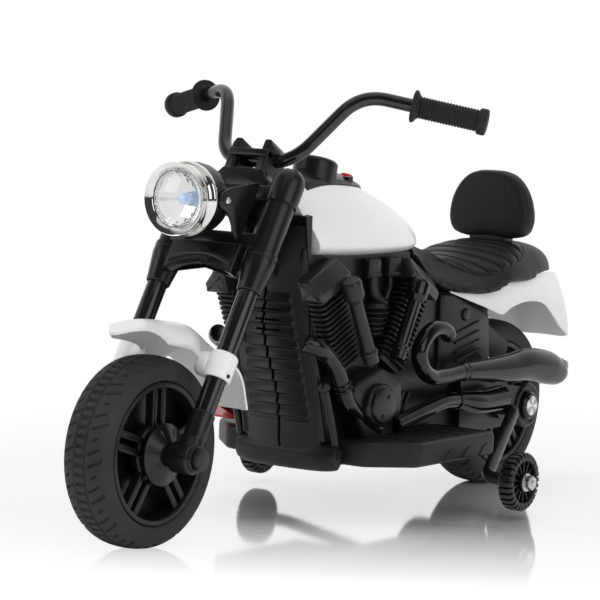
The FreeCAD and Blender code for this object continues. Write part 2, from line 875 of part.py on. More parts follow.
def drive_gear():
    bore = rear_axle_radius + running_gap
    wheel = gear(drive_teeth, -gear_inner_x - gear_width, -gear_inner_x, half_pitch_share)
    boss = rod(drive_boss_radius, (-gear_inner_x - gear_width, 0, 0), (-hub_half, 0, 0))
    hole = rod(bore, (-case_outer_x, 0, 0), (0, 0, 0))
    return at_rear(union([wheel, boss]).cut(hole))


def idler_gear():
    small = gear(idler_small_teeth, -gear_mid_x, -gear_inner_x, 0)
    large = gear(idler_large_teeth, -gear_outer_x, -gear_mid_x, half_pitch_share)
    hole = rod(idler_pin_radius + running_gap, (-case_outer_x, 0, 0), (0, 0, 0))
    return moved(union([small, large]).cut(hole), 0, idler_y, wheel_radius)


def motor_pinion():
    wheel = gear(pinion_teeth, -gear_outer_x, -gear_mid_x, 0)
    shaft = rod(motor_shaft_radius, (-gear_outer_x, 0, 0), (-case_inner_x + motor_shaft_set, 0, 0))
    return moved(union([wheel, shaft]), 0, motor_y, wheel_radius)


def motor():
    can = rod(motor_radius, (-case_inner_x, 0, 0), (-case_inner_x + motor_length, 0, 0))
    bore = rod(motor_shaft_radius + running_gap, (-case_outer_x, 0, 0),
               (-case_inner_x + motor_shaft_set + side_gap, 0, 0))
    return moved(can.cut(bore), 0, motor_y, wheel_radius)


def case_lobes(extra, x0, x1):
    """Three joined drums round the gears, larger than the teeth by the extra."""
    spots = ((rear_axle_y, drive_teeth), (idler_y, idler_large_teeth), (motor_y, pinion_teeth))
    drums = []
    for y, teeth in spots:
        radius = gear_module * (teeth / 2 + 1) + extra
        drums.append(rod(radius, (x0, y, wheel_radius), (x1, y, wheel_radius)))
    return union(drums)


def gear_case():
    shell = case_lobes(gear_tip_gap + case_rim, -case_outer_x, -case_inner_x)
    room = case_lobes(gear_tip_gap, -case_outer_x + case_wall, -case_inner_x - case_wall)
    holes = [
        rod(drive_boss_radius + side_gap * 2, (-case_inner_x - case_wall - overrun, rear_axle_y,
                                               wheel_radius),
            (0, rear_axle_y, wheel_radius)),
        rod(rear_axle_radius, (-case_outer_x - overrun, rear_axle_y, wheel_radius),
            (0, rear_axle_y, wheel_radius)),
        rod(motor_shaft_radius + side_gap, (-case_inner_x - case_wall - overrun, motor_y, wheel_radius),
            (0, motor_y, wheel_radius))]
    pin = rod(idler_pin_radius, (-case_outer_x, idler_y, wheel_radius),
              (-case_inner_x, idler_y, wheel_radius))
    return union([shell.cut(room), pin]).cut(union(holes[:2])).cut(holes[2])


def body_outline(inset):
    """Side outline of the body core, drawn in by the inset; only the outer one carries the nose plate."""
    front_foot = body_front_bottom_y + body_keel / 2
    heel = rear_axle_y - wheel_radius - well_gap
    foot = [(body_rear_y - inset, wheel_radius), (heel - inset, body_bottom + inset),
            (front_foot + inset, body_bottom + inset),
            (body_front_bottom_y + inset, body_bottom + body_keel + inset),
            (body_front_mid_y + inset, body_front_mid_z)]
    back = [(tank_seat_y - inset, tank_bottom - inset), (tank_seat_y - inset, seat_bottom - inset),
            (body_rear_y - inset, seat_bottom - inset)]
    if inset:
        return [(body_front_mid_y + inset, tank_bottom - inset)] + back + foot
    nose = [(body_nose_y, body_nose_z), (body_nose_y + nose_plate, body_nose_z),
            (body_nose_y + nose_plate, tank_bottom)]
    return nose + back + foot


def body_room(inset):
    """Left half of the body core as a full block, drawn in by the inset, clear of the rear wheel."""
    half = body_half - inset
    block = prism_x(body_outline(inset), 0, half)
    front = prism_y([(0, body_bottom), (half - body_keel, body_bottom), (half, body_bottom + body_keel),
                     (half, body_nose_z + overrun), (0, body_nose_z + overrun)],
                    body_nose_y - overrun, body_rear_y + overrun)
    well = rod(wheel_radius + well_gap + inset, (-body_half, rear_axle_y, wheel_radius),
               (body_half + overrun, rear_axle_y, wheel_radius))
    return block.common(front).cut(well)


def grille_cuts():
    """Level louvre slots across the sloping front."""
    slots = []
    lean = (body_front_mid_y - body_front_bottom_y) / (body_front_mid_z - body_bottom - body_keel)
    for i in range(grille_count):
        z = body_front_mid_z - grille_pitch * (i + 1)
        y = body_front_mid_y - lean * (body_front_mid_z - z)
        slots.append(box(-grille_half, grille_half, y - body_keel, y + grille_depth, z, z + grille_height))
    return Part.makeCompound(slots)


def rear_arm():
    """Arm beside the rear wheel with its axle boss, and the plate that stiffens it to the body."""
    y1 = rear_axle_y
    half = arm_height / 2
    beam = prism_x([(arm_start_y, wheel_radius - half), (y1, wheel_radius - half),
                    (y1, wheel_radius + half),
                    (arm_start_y, wheel_radius + half * 2)], arm_inner_x, arm_outer_x)
    boss = rod(arm_boss_radius, (arm_inner_x, y1, wheel_radius), (arm_outer_x, y1, wheel_radius))
    gusset = prism_x([(arm_start_y, gusset_foot_z), (gusset_front_y, gusset_top_z),
                      (gusset_rear_y, gusset_rear_z), (gusset_rear_y - gusset_thickness, gusset_foot_z)],
                     arm_inner_x, arm_inner_x + gusset_thickness)
    return union([beam, boss, gusset])


def body_shell(boss_inner_x):
    """Left body half: hollow core with louvred front and the arm whose boss carries the rear axle."""
    shell = body_room(0).cut(body_room(body_wall)).cut(grille_cuts())
    boss = rod(arm_boss_radius * boss_share, (boss_inner_x, rear_axle_y, wheel_radius),
               (arm_outer_x, rear_axle_y, wheel_radius))
    shell = union([shell, rear_arm(), boss])
    hole = rod(rear_axle_radius, (0, rear_axle_y, wheel_radius),
               (arm_outer_x + overrun, rear_axle_y, wheel_radius))
    bolt = rod(screw_radius, (0, bolt_y, bolt_z), (body_half + overrun, bolt_y, bolt_z))
    return shell.cut(hole).cut(bolt).cut(raked(neck_block()))


def right_shell():
    """Right body half, opened for the gear case and the charging inlet."""
    shell = mirrored(body_shell(arm_inner_x))
    inlet = rod(inlet_radius, (-body_half - overrun, inlet_y, inlet_z), (0, inlet_y, inlet_z))
    return shell.cut(case_lobes(gear_tip_gap + case_rim, -case_outer_x, -case_inner_x)).cut(inlet)


def charging_inlet():
    tube = rod(inlet_radius, (-body_half, inlet_y, inlet_z), (-body_half + inlet_depth, inlet_y, inlet_z))
    lip = rod(inlet_radius * inlet_lip_share, (-body_half - body_wall, inlet_y, inlet_z),
              (-body_half, inlet_y, inlet_z))
    bore = rod(inlet_radius / 2, (-body_half - body_wall - overrun, inlet_y, inlet_z),
               (-body_half + inlet_depth - body_wall, inlet_y, inlet_z))
    return union([tube, lip]).cut(bore)


def frame_bolt():
    head = rod(screw_radius * 2, (body_half, bolt_y, bolt_z), (body_half + body_wall, bolt_y, bolt_z))
    shank = rod(screw_radius, (body_half - body_wall * 2, bolt_y, bolt_z), (body_half, bolt_y, bolt_z))
    return union([head, shank])


def battery():
    return box(-battery_half, battery_half, battery_y, battery_y + battery_length, body_bottom + body_wall,
               body_bottom + body_wall + battery_height)


def tank_hull(inset):
    return hull(tank_front_y, tank_length, tank_half, tank_bottom, tank_height, tank_shares, tank_power,
                inset)


def dash_surface(y):
    share = (y - tank_front_y) / tank_length
    return tank_bottom + tank_height * share_height(tank_shares, share) + dash_thickness


def button_axis(length):
    tilt = math.radians(button_tilt_deg)
    return (0, button_y + length * math.sin(tilt), dash_surface(button_y) + length * math.cos(tilt))


def button_well():
    return rod(button_radius + side_gap, button_axis(-button_height - button_travel),
               button_axis(button_height))


def switch_well(extra):
    z = dash_surface(switch_y) - switch_radius + switch_proud
    return rod(switch_radius + extra, (switch_x - switch_half - extra, switch_y, z),
               (switch_x + switch_half + extra, switch_y, z))


def ridge_room():
    """Room for the thumb ridge of the switch to swing."""
    z = dash_surface(switch_y) - switch_radius + switch_proud
    return box(switch_x - switch_half - side_gap, switch_x + switch_half + side_gap,
               switch_y - switch_radius,
               switch_y + switch_radius, z, z + switch_radius * 2)


def tank():
    """White tank shell, open below, with openings for the controls."""
    shell = tank_hull(0).cut(tank_hull(tank_wall))
    return shell.cut(button_well()).cut(switch_well(side_gap)).cut(ridge_room())


def dash():
    """Black cover following the back of the tank, with a round pod ahead of the controls."""
    rear_y = dash_front_y + dash_length
    strip = prism_z([(-dash_half, dash_front_y), (dash_half, dash_front_y),
                     (dash_half, dash_front_y + dash_length / 2),
                     (dash_half / 2, rear_y), (-dash_half / 2, rear_y),
                     (-dash_half, dash_front_y + dash_length / 2)],
                    tank_bottom + tank_height / 2, tank_bottom + tank_height * 2)
    cover = tank_hull(-dash_thickness).common(strip)
    top = dash_surface(pod_y)
    pod = rod(pod_radius, (0, pod_y, top - pod_radius), (0, pod_y, top + pod_height))
    return union([cover,
                  pod]).cut(tank_hull(0)).cut(button_well()).cut(switch_well(side_gap)).cut(ridge_room())


def power_button():
    return rod(button_radius, button_axis(button_proud - button_height), button_axis(button_proud))


def direction_switch():
    """Half-sunk rocker barrel with a thumb ridge."""
    barrel = switch_well(0)
    top = dash_surface(switch_y) + switch_proud
    ridge = box(switch_x - switch_half, switch_x + switch_half, switch_y - switch_ridge,
                switch_y + switch_ridge,
                top - switch_radius, top + switch_ridge)
    return union([barrel, ridge])


def seat_hull(inset):
    return hull(seat_front_y, seat_length, seat_half, seat_bottom, seat_height, seat_shares, seat_power,
                inset)


def post():
    return box(-post_half, post_half, rest_y - post_depth / 2, rest_y + post_depth / 2, seat_bottom,
               rest_bottom + post_set)


def seat():
    """Long padded seat with sewn channels across it, shaped round the tail of the tank."""
    cushion = seat_hull(0)
    skin = cushion.cut(seat_hull(seat_channel_depth))
    cuts = []
    for i in range(seat_channel_count):
        y = seat_front_y + seat_length * (seat_channel_start_share + seat_channel_pitch_share * i)
        slab = box(-seat_half, seat_half, y, y + seat_channel_width, seat_bottom + seat_height / 2,
                   seat_bottom + seat_height * 2)
        cuts.append(slab.common(skin))
    nose = box(-tank_half, tank_half, tank_front_y, tank_seat_y, 0, tank_bottom)
    return cushion.cut(Part.makeCompound(cuts)).cut(tank_hull(0)).cut(nose).cut(post())


def rest_outline(y, share):
    """Rounded upright outline of the backrest pad."""
    steps = 24
    points = []
    for i in range(steps):
        turn = 2 * math.pi * i / steps
        across = math.copysign(abs(math.cos(turn)) ** rest_power, math.cos(turn))
        rise = math.copysign(abs(math.sin(turn)) ** rest_power, math.sin(turn))
        spread = 1 - rest_taper_share * rise
        points.append(V(rest_half * share * across * spread, y,
                        rest_bottom + rest_height * (1 + share * rise) / 2))
    curve = Part.BSplineCurve()
    curve.interpolate(points, PeriodicFlag=True)
    return Part.Wire([curve.toShape()])


def backrest():
    """Padded upright panel with rolled edges."""
    half = rest_thickness / 2
    outlines = [rest_outline(rest_y - half, rest_edge_share), rest_outline(rest_y - half / 2, 1),
                rest_outline(rest_y + half / 2, 1), rest_outline(rest_y + half, rest_edge_share)]
    pad = Part.makeLoft(outlines, True)
    return pad.cut(post())


def tail_block(inset):
    """Rear fender block from three outlines: side, plan and front; the inset draws it in."""
    top = seat_bottom - inset
    drop = tail_round * 2
    tail = tail_y - inset
    low = wheel_radius if inset else tail_z
    side = prism_x([(tail_front_y, top - tail_round / 4), (tail_front_y, top), (tail_y - tail_side, top),
                    (tail - tail_round * 2, top - tail_round / 4), (tail - tail_round, top - tail_round),
                    (tail - tail_round / 4, top - drop), (tail, low), (rear_axle_y, low),
                    (body_rear_y, low), (body_rear_y - tail_round, top - drop),
                    (body_rear_y - drop, top - tail_round)], -tail_side, tail_side)
    half = tail_side - inset
    end = tail_half - inset
    plan = prism_z([(half - body_wall, tail_front_y), (half, rear_axle_y - tail_side), (half, rear_axle_y),
                    ((half + end) / 2, tail_y - tail_side), (end, tail_y), (-end, tail_y),
                    (-(half + end) / 2, tail_y - tail_side), (-half, rear_axle_y),
                    (-half, rear_axle_y - tail_side), (body_wall - half, tail_front_y)], 0,
                    seat_bottom + overrun)
    soft = tail_round / 3
    front = prism_y([(-half, 0), (half, 0), (half, top - tail_round), (half - soft, top - soft),
                     (half - tail_round, top), (tail_round - half, top), (soft - half, top - soft),
                     (-half, top - tail_round)], tail_front_y - overrun, tail_y + overrun)
    return side.common(plan).common(front)


def rear_fender():
    """White tail over the rear wheel, open below, with an arch cut in each side."""
    arch = rod(tail_arch_radius, (-tail_side - overrun, rear_axle_y, wheel_radius),
               (tail_side + overrun, rear_axle_y, wheel_radius))
    room = box(-body_half, body_half, tail_front_y - overrun, body_rear_y, 0, seat_bottom + overrun)
    below = box(-tail_side - overrun, tail_side + overrun, tail_front_y - overrun, rear_axle_y, 0,
                seat_bottom - tail_front_drop)
    shell = tail_block(0).cut(tail_block(tail_wall)).cut(arch).cut(room).cut(below)
    return shell.cut(post())


def at_crank(shape, lean_deg):
    """Lean a shape built upright over the crank and set it on the left flank of the body."""
    leaned = shape.copy()
    leaned.rotate(V(0, 0, 0), V(1, 0, 0), lean_deg)
    return leaned.translated(V(body_half, crank_y, crank_z))


barrel_top = barrel_start + fin_count * fin_pitch


def cylinder(lean_deg):
    """Finned barrel standing out from the flank."""
    core = box(0, barrel_depth, -barrel_width / 2, barrel_width / 2, barrel_start, barrel_top)
    fins = []
    for i in range(fin_count):
        z = barrel_start + fin_pitch * i
        fins.append(box(0, fin_depth, -fin_width / 2, fin_width / 2, z, z + fin_thickness))
    return at_crank(union([core] + fins), lean_deg)


def rocker(lean_deg):
    """Faceted cover on top of a barrel."""
    half = rocker_width / 2
    top = barrel_top + rocker_height
    cut = rocker_chamfer
    block = prism_x([(-half, barrel_top), (half, barrel_top), (half, top - cut), (half - cut, top),
                     (cut - half, top), (-half, top - cut)], 0, rocker_depth)
    slope = prism_y([(0, barrel_top - overrun), (rocker_depth, barrel_top - overrun),
                     (rocker_depth, top - cut),
                     (rocker_depth - cut, top + overrun), (0, top + overrun)], -half - overrun,
                     half + overrun)
    return at_crank(block.common(slope), lean_deg)


def pushrod(lean_deg):
    """Tube with a long cap at each end, lying on the fins."""
    x = fin_depth + push_cap_radius
    tube = rod(push_radius, (x, 0, push_bottom), (x, 0, push_top))
    low = rod(push_cap_radius, (x, 0, push_bottom), (x, 0, push_bottom + push_cap_length / 2))
    high = rod(push_cap_radius, (x, 0, push_top - push_cap_length), (x, 0, push_top))
    return at_crank(union([tube, low, high]), lean_deg)


def crankcase():
    """Round cover under the barrels with a raised oval cap, resting on the footboard."""
    z = crank_z - case_drop
    x0 = body_half + case_depth
    x1 = x0 + cam_depth
    reach = cam_half_height - cam_half_width
    drum = rod(case_radius, (body_half, crank_y, z), (x0, crank_y, z))
    caps = [rod(cam_half_width, (body_half, crank_y, z + s), (x1, crank_y, z + s)) for s in (-reach, reach)]
    block = box(body_half, x1, crank_y - cam_half_width, crank_y + cam_half_width, z - reach, z + reach)
    floor = box(0, board_outer_x, crank_y - case_radius, crank_y + case_radius, 0, board_top)
    return union([drum, block] + caps).cut(floor)


def coil_boxes():
    boxes = []
    for shift in (-coil_pitch, 0):
        y = crank_y + shift + (coil_pitch - coil_width) / 2
        boxes.append(box(body_half, body_half + coil_depth, y, y + coil_width, coil_top - coil_height,
                         coil_top))
    return Part.makeCompound(boxes)


def intake():
    """Ribbed half-round air cleaner in the fork of the barrels."""
    pitch = intake_height / intake_fin_count
    discs = []
    for i in range(intake_fin_count):
        z = intake_bottom + pitch * i
        radius = intake_radius * (intake_foot_share + (1 - intake_foot_share) * i / (intake_fin_count - 1))
        discs.append(rod(radius, (body_half, crank_y, z), (body_half, crank_y, z + pitch / 2)))
        discs.append(rod(radius * intake_core_share, (body_half, crank_y, z),
                         (body_half, crank_y, z + pitch)))
    half = box(body_half, board_outer_x, crank_y - intake_radius, crank_y + intake_radius, 0, tank_bottom)
    return union(discs).common(half).cut(cylinder(vee_deg)).cut(cylinder(-vee_deg))


def header_pipe():
    """Front pipe elbow running down the flank with a clamp ring."""
    x = body_half + pipe_ring_radius
    points = [(x, y, z) for y, z in header_points]
    pipe = bent_tube(points, pipe_radius, pipe_bend)
    start = V(*points[1]) + (V(*points[2]) - V(*points[1])) * ring_place_share
    run = (V(*points[2]) - V(*points[1])).normalize()
    ring = Part.makeCylinder(pipe_ring_radius, pipe_ring_width, start, run)
    foot = box(0, board_outer_x, header_points[2][0] - case_radius, header_points[2][0] + case_radius, 0,
               board_top)
    return union([pipe, ring]).cut(foot)


def round_section(x, y, z, wide, tall):
    """Upright oval across the muffler."""
    oval = Part.Ellipse(V(x, y, z), wide, tall) if wide > tall else Part.Ellipse(V(x, y, z), tall, wide)
    shape = oval.toShape()
    shape.rotate(V(x, y, z), V(1, 0, 0), 90)
    if tall > wide:
        shape.rotate(V(x, y, z), V(0, 1, 0), 90)
    return Part.Wire([shape])


def exhaust():
    """Hooked pipe, waved muffler and lower pipe, with a stay to the body side."""
    hook = bent_tube([(hook_x, y, z) for y, z in hook_points], pipe_radius, pipe_bend)
    join_y, join_z = hook_points[-1]
    rounds = []
    for along, rise, wide, tall in muffler_shares:
        y = join_y + along * muffler_length
        x = hook_x + along * (muffler_x - hook_x)
        rounds.append(round_section(x, y, join_z + rise * muffler_length, muffler_radius * wide,
                                    muffler_radius * tall))
    muffler = Part.makeLoft(rounds, True)
    ring = rod(pipe_ring_radius, (hook_x, join_y - pipe_ring_width, join_z), (hook_x, join_y, join_z))
    lower_x = arm_outer_x + lower_pipe_radius
    lower = bent_tube([(lower_x, y, z) for y, z in lower_points], lower_pipe_radius, pipe_bend)
    stay = box(body_half, hook_x, stay_y, stay_y + stay_width, join_z - stay_width / 2,
               join_z + stay_width / 2)
    drop = box(lower_x - stay_width / 2, hook_x, stay_y, stay_y + stay_width, lower_points[1][1], join_z)
    return union([hook, muffler, ring, lower, stay, drop])


def board_plan(inset):
    outer = board_outer_x - inset
    front = board_front_y + inset
    rear = board_rear_y - inset
    return [(body_half, front), (outer - board_corner, front), (outer, front + board_corner), (outer, rear),
            (body_half, rear)]


def footboard():
    """Left footboard: a plate with a skirt, open below, and a raised, slotted pad behind the engine."""
    bottom = board_top - board_skirt
    board = prism_z(board_plan(0), bottom, board_top)
    board = board.cut(prism_z(board_plan(board_wall), bottom - overrun, board_top - board_wall))
    pad_front = crank_y + case_radius + pad_margin
    pad_outer = board_outer_x - pad_margin
    pad_top = board_top + pad_rise
    pad = box(pad_inner_x, pad_outer, pad_front, board_rear_y - pad_margin, board_top - board_wall, pad_top)
    grooves = []
    for i in range(board_rib_count):
        y = board_front_y + board_corner + board_rib_pitch * i
        top = pad_top if y > pad_front else board_top
        grooves.append(box(pad_inner_x + pad_margin, pad_outer - pad_margin, y, y + board_rib_width,
                           top - board_rib_depth, pad_top + overrun))
    return union([board, pad]).cut(Part.makeCompound(grooves))


pedal_z = board_top + pedal_hinge_rise


def pedal_lugs():
    lugs = []
    for side in (-1, 1):
        inner = pedal_x + side * (pedal_half + side_gap)
        outer = inner + side * board_wall
        lugs.append(box(min(-inner, -outer), max(-inner, -outer), pedal_hinge_y - pedal_hinge_rise,
                        pedal_hinge_y + pedal_hinge_rise, board_top, pedal_z + pedal_pin_radius * 2))
    return lugs


def right_footboard():
    """Right footboard with the two lugs that carry the pedal."""
    reach = pedal_half + side_gap + board_wall + overrun
    bore = rod(pedal_pin_radius + running_gap, (-pedal_x - reach, pedal_hinge_y, pedal_z),
               (-pedal_x + reach, pedal_hinge_y, pedal_z))
    return union([mirrored(footboard())] + pedal_lugs()).cut(bore)


def foot_pedal():
    """Tilted treadle hinged at its heel on two stub pins."""
    half = pedal_thickness / 2
    reach = pedal_half + side_gap + board_wall
    plate = box(-pedal_x - pedal_half, -pedal_x + pedal_half, -pedal_length, 0, -half, half)
    heel = rod(half + pedal_pin_radius / 2, (-pedal_x - pedal_half, 0, 0), (-pedal_x + pedal_half, 0, 0))
    pins = rod(pedal_pin_radius, (-pedal_x - reach, 0, 0), (-pedal_x + reach, 0, 0))
    treadle = union([plate, heel, pins])
    treadle.rotate(V(0, 0, 0), V(1, 0, 0), -pedal_tilt_deg)
    return moved(treadle, 0, pedal_hinge_y, pedal_z)


trainer_z = trainer_radius + trainer_lift
trainer_inner = trainer_x - trainer_width / 2
trainer_outer = trainer_x + trainer_width / 2


def at_trainer(shape):
    return moved(shape, 0, trainer_y, trainer_z)


def training_wheel():
    """Small wheel with slotted tread, thin spokes and a plain hub."""
    inner = trainer_radius - trainer_rim
    ring = turned([(inner, trainer_inner), (trainer_radius, trainer_inner), (trainer_radius, trainer_outer),
                   (inner, trainer_outer)], "X")
    hub = rod(trainer_hub, (trainer_inner, 0, 0), (trainer_outer, 0, 0))
    web = rod(inner + trainer_lug_depth, (trainer_x - trainer_web, 0, 0), (trainer_x + trainer_web, 0, 0))
    pieces = [ring, hub, web]
    for i in range(trainer_spokes):
        spoke = box(trainer_inner + trainer_web, trainer_outer - trainer_web, -trainer_web / 2,
                    trainer_web / 2,
                    0, inner + trainer_lug_depth)
        spoke.rotate(V(0, 0, 0), V(1, 0, 0), 360 * i / trainer_spokes)
        pieces.append(spoke)
    wheel = union(pieces)
    slots = []
    for i in range(trainer_lugs):
        slot = box(trainer_x + trainer_web, trainer_outer + overrun, -trainer_web / 2, trainer_web / 2,
                   trainer_radius - trainer_lug_depth, trainer_radius + overrun)
        slot.rotate(V(0, 0, 0), V(1, 0, 0), 360 * (i + half_pitch_share) / trainer_lugs)
        slots += [slot, slot.mirror(V(trainer_x, 0, 0), V(1, 0, 0))]
    hole = rod(trainer_bolt_radius + running_gap, (0, 0, 0), (trainer_outer + overrun, 0, 0))
    return at_trainer(wheel.cut(Part.makeCompound(slots)).cut(hole))


trainer_tube_end = trainer_inner - side_gap


def training_arm():
    """Bent steel tube from the rear arm out to a training wheel, bored at its end for the wheel bolt."""
    foot_x = arm_outer_x + trainer_collar + trainer_bend
    elbow_x = trainer_tube_end - trainer_width - trainer_bend
    arm = bent_tube([(arm_outer_x, trainer_foot_y, trainer_foot_z), (foot_x, trainer_foot_y, trainer_foot_z),
                     (elbow_x, trainer_y, trainer_z), (trainer_tube_end, trainer_y, trainer_z)],
                    trainer_tube_radius, trainer_bend)
    return arm.cut(at_trainer(rod(trainer_bolt_radius, (trainer_tube_end - trainer_width, 0, 0),
                                  (trainer_tube_end + overrun, 0, 0))))


def training_collar():
    """Round flange that holds the bent tube against the outer face of the rear arm."""
    ends = [(arm_outer_x, trainer_foot_y, trainer_foot_z),
            (arm_outer_x + trainer_collar, trainer_foot_y, trainer_foot_z)]
    return rod(trainer_tube_radius + trainer_plate, *ends).cut(rod(trainer_tube_radius, *ends))


def training_bolt():
    """Wheel bolt with its washer and hexagon head in one turned length."""
    shank = rod(trainer_bolt_radius, (trainer_tube_end - trainer_width, 0, 0),
                (trainer_outer + side_gap, 0, 0))
    washer = rod(washer_radius, (trainer_outer + side_gap, 0, 0),
                 (trainer_outer + side_gap + washer_thickness, 0, 0))
    nut = hexagon(nut_radius, 0, nut_height)
    nut.rotate(V(0, 0, 0), V(0, 1, 0), 90)
    return at_trainer(union([shank, washer, moved(nut, trainer_outer + side_gap + washer_thickness, 0, 0)]))


def rear_ring():
    ring = rod(axle_ring_radius, (arm_outer_x, 0, 0), (arm_outer_x + axle_ring_width, 0, 0))
    seat_x = arm_outer_x + axle_ring_width - axle_disc_set
    ring = ring.cut(rod(axle_disc_radius, (seat_x, 0, 0), (arm_outer_x + axle_ring_width + overrun, 0, 0)))
    return at_rear(ring.cut(rod(rear_axle_radius, (0, 0, 0), (seat_x, 0, 0))))


def rear_disc():
    seat_x = arm_outer_x + axle_ring_width - axle_disc_set
    return at_rear(rod(axle_disc_radius, (seat_x, 0, 0), (arm_outer_x + axle_ring_width + axle_disc_proud,
                                                          0, 0)))


def rear_axle():
    end = arm_outer_x + axle_ring_width - axle_disc_set
    return at_rear(rod(rear_axle_radius, (-end, 0, 0), (end, 0, 0)))


def front_axle():
    return at_front(rod(axle_radius, (-axle_end, 0, 0), (axle_end, 0, 0)))


def front_axle_cap():
    inner = leg_x + foot_boss_width / 2
    return at_front(axle_cap(axle_cap_radius, inner, inner + axle_cap_width, axle_radius, axle_end - inner))


def group(shapes):
    return Part.makeCompound(shapes)


nodes = {
    "steering_stem": group([steering_stem(), stem_nut()]),
    "lower_yoke": lower_yoke(),
    "upper_yoke": yoke(upper_yoke_bottom, upper_yoke_top),
    "fork_covers": pair(fork_cover()),
    "fork_tubes": pair(fork_tube()),
    "fork_feet": pair(fork_foot()),
    "handlebar_clamp": handlebar_clamp(),
    "handlebar": handlebar(),
    "grips": pair(grip()),
    "headlight_bezel": headlight_bezel(),
    "headlight_lens": headlight_lens(),
    "headlight_reflector": headlight_reflector(),
    "headlight_bulb": headlight_bulb(),
    "headlight_bucket": headlight_bucket(),
    "headlight_brackets": pair(headlight_bracket()),
    "headlight_screws": pair(headlight_screw()),
    "front_fender": front_fender(),
    "front_axle": front_axle(),
    "front_axle_caps": pair(front_axle_cap()),
    "front_tyre": at_front(tyre()),
    "front_rim": at_front(rim(axle_radius + running_gap)),
    "front_hub_cones": pair(at_front(hub_cone())),
    "rear_tyre": at_rear(tyre()),
    "rear_rim": at_rear(rim(rear_axle_radius + running_gap)),
    "drive_gear": drive_gear(),
    "idler_gear": idler_gear(),
    "motor_pinion": motor_pinion(),
    "motor": motor(),
    "gear_case": gear_case(),
    "rear_axle": rear_axle(),
    "rear_axle_rings": pair(rear_ring()),
    "rear_axle_discs": pair(rear_disc()),
    "steering_head": steering_head(),
    "body_shell_left": body_shell(hub_half + side_gap),
    "body_shell_right": right_shell(),
    "body_bolts": pair(frame_bolt()),
    "charging_inlet": charging_inlet(),
    "battery": battery(),
    "tank": tank(),
    "dash": dash(),
    "power_button": power_button(),
    "direction_switch": direction_switch(),
    "seat": seat(),
    "backrest": backrest(),
    "backrest_post": post(),
    "rear_fender": rear_fender(),
    "barrels": pair(group([cylinder(vee_deg), cylinder(-vee_deg)])),
    "rocker_covers": pair(group([rocker(vee_deg), rocker(-vee_deg)])),
    "pushrod_tubes": pair(group([pushrod(push_front_deg), pushrod(-push_rear_deg)])),
    "crankcases": pair(crankcase()),
    "engine_trim": pair(group([coil_boxes(), intake()])),
    "exhausts": pair(group([header_pipe(), exhaust()])),
    "footboard_left": footboard(),
    "footboard_right": right_footboard(),
    "foot_pedal": foot_pedal(),
    "training_wheel_left": training_wheel(),
    "training_wheel_right": mirrored(training_wheel()),
    "training_arms": pair(training_arm()),
    "training_collars": pair(training_collar()),
    "training_bolts": pair(training_bolt()),
}
os.makedirs("parts", exist_ok=True)
for name, shape in nodes.items():
    shape.exportStep("parts/" + name + ".step")
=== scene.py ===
import math

import bmesh
import bpy
import numpy as np
from mathutils import Matrix, Vector


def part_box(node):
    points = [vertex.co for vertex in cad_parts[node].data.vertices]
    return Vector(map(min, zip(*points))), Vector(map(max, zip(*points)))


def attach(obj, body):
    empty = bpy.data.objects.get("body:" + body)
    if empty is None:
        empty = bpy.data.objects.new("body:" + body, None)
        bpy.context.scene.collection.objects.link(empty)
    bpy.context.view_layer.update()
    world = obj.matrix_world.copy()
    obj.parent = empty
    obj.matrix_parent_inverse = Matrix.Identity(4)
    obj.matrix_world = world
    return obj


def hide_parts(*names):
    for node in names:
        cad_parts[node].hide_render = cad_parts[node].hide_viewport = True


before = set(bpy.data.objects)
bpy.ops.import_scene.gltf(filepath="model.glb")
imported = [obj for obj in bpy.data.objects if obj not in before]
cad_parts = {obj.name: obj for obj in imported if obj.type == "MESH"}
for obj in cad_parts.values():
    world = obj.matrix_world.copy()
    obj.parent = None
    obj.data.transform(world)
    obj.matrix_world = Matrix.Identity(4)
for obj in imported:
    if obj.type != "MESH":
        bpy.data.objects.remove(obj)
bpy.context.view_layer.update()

# Road tyres: two moulded rubber tyres of equal size on plastic rims. Each has a rounded crown with
# a ladder of cross slots between two running grooves, and curved slashes out to the shoulders.
millimetre = 0.001


def span(node):
    """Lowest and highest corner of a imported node, in millimetres."""
    low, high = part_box(node)
    return np.array(low) / millimetre, np.array(high) / millimetre


def shell(points, ring=False):
    """Quads over a grid of points: each row closes on itself, and in a ring the last row joins the first."""
    rows, columns = points.shape[:2]
    index = np.arange(rows * columns).reshape(rows, columns)
    index = np.concatenate([index, index[:, :1]], 1)
    if ring:
        index = np.concatenate([index, index[:1]], 0)
    corners = [index[:-1, :-1], index[:-1, 1:], index[1:, 1:], index[1:, :-1]]
    return points.reshape(-1, 3), np.stack(corners, -1).reshape(-1, 4)


def closed_mesh(name, shells):
    """One mesh in metres from several shells, each with its poles merged and its faces pointing outwards."""
    whole = bmesh.new()
    for points, faces in shells:
        part = bpy.data.meshes.new(name)
        part.from_pydata((points * millimetre).tolist(), [], faces.tolist())
        build = bmesh.new()
        build.from_mesh(part)
        bmesh.ops.remove_doubles(build, verts=build.verts, dist=1e-6)
        bmesh.ops.recalc_face_normals(build, faces=build.faces)
        build.to_mesh(part)
        build.free()
        whole.from_mesh(part)
        bpy.data.meshes.remove(part)
    mesh = bpy.data.meshes.new(name)
    whole.to_mesh(mesh)
    whole.free()
    return mesh


def piece(name, shells, finish, body, nodes=(), sharp_deg=38.0):
    """A finished object: smooth but for hard edges, with its finish, its body and the nodes it replaces."""
    mesh = closed_mesh(name, shells)
    mesh.polygons.foreach_set("use_smooth", np.ones(len(mesh.polygons), bool))
    mesh.set_sharp_from_angle(angle=math.radians(sharp_deg))
    mesh.materials.append(finish)
    made = bpy.data.objects.new(name, mesh)
    bpy.context.scene.collection.objects.link(made)
    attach(made, body)
    if nodes:
        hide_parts(*nodes)
    return made


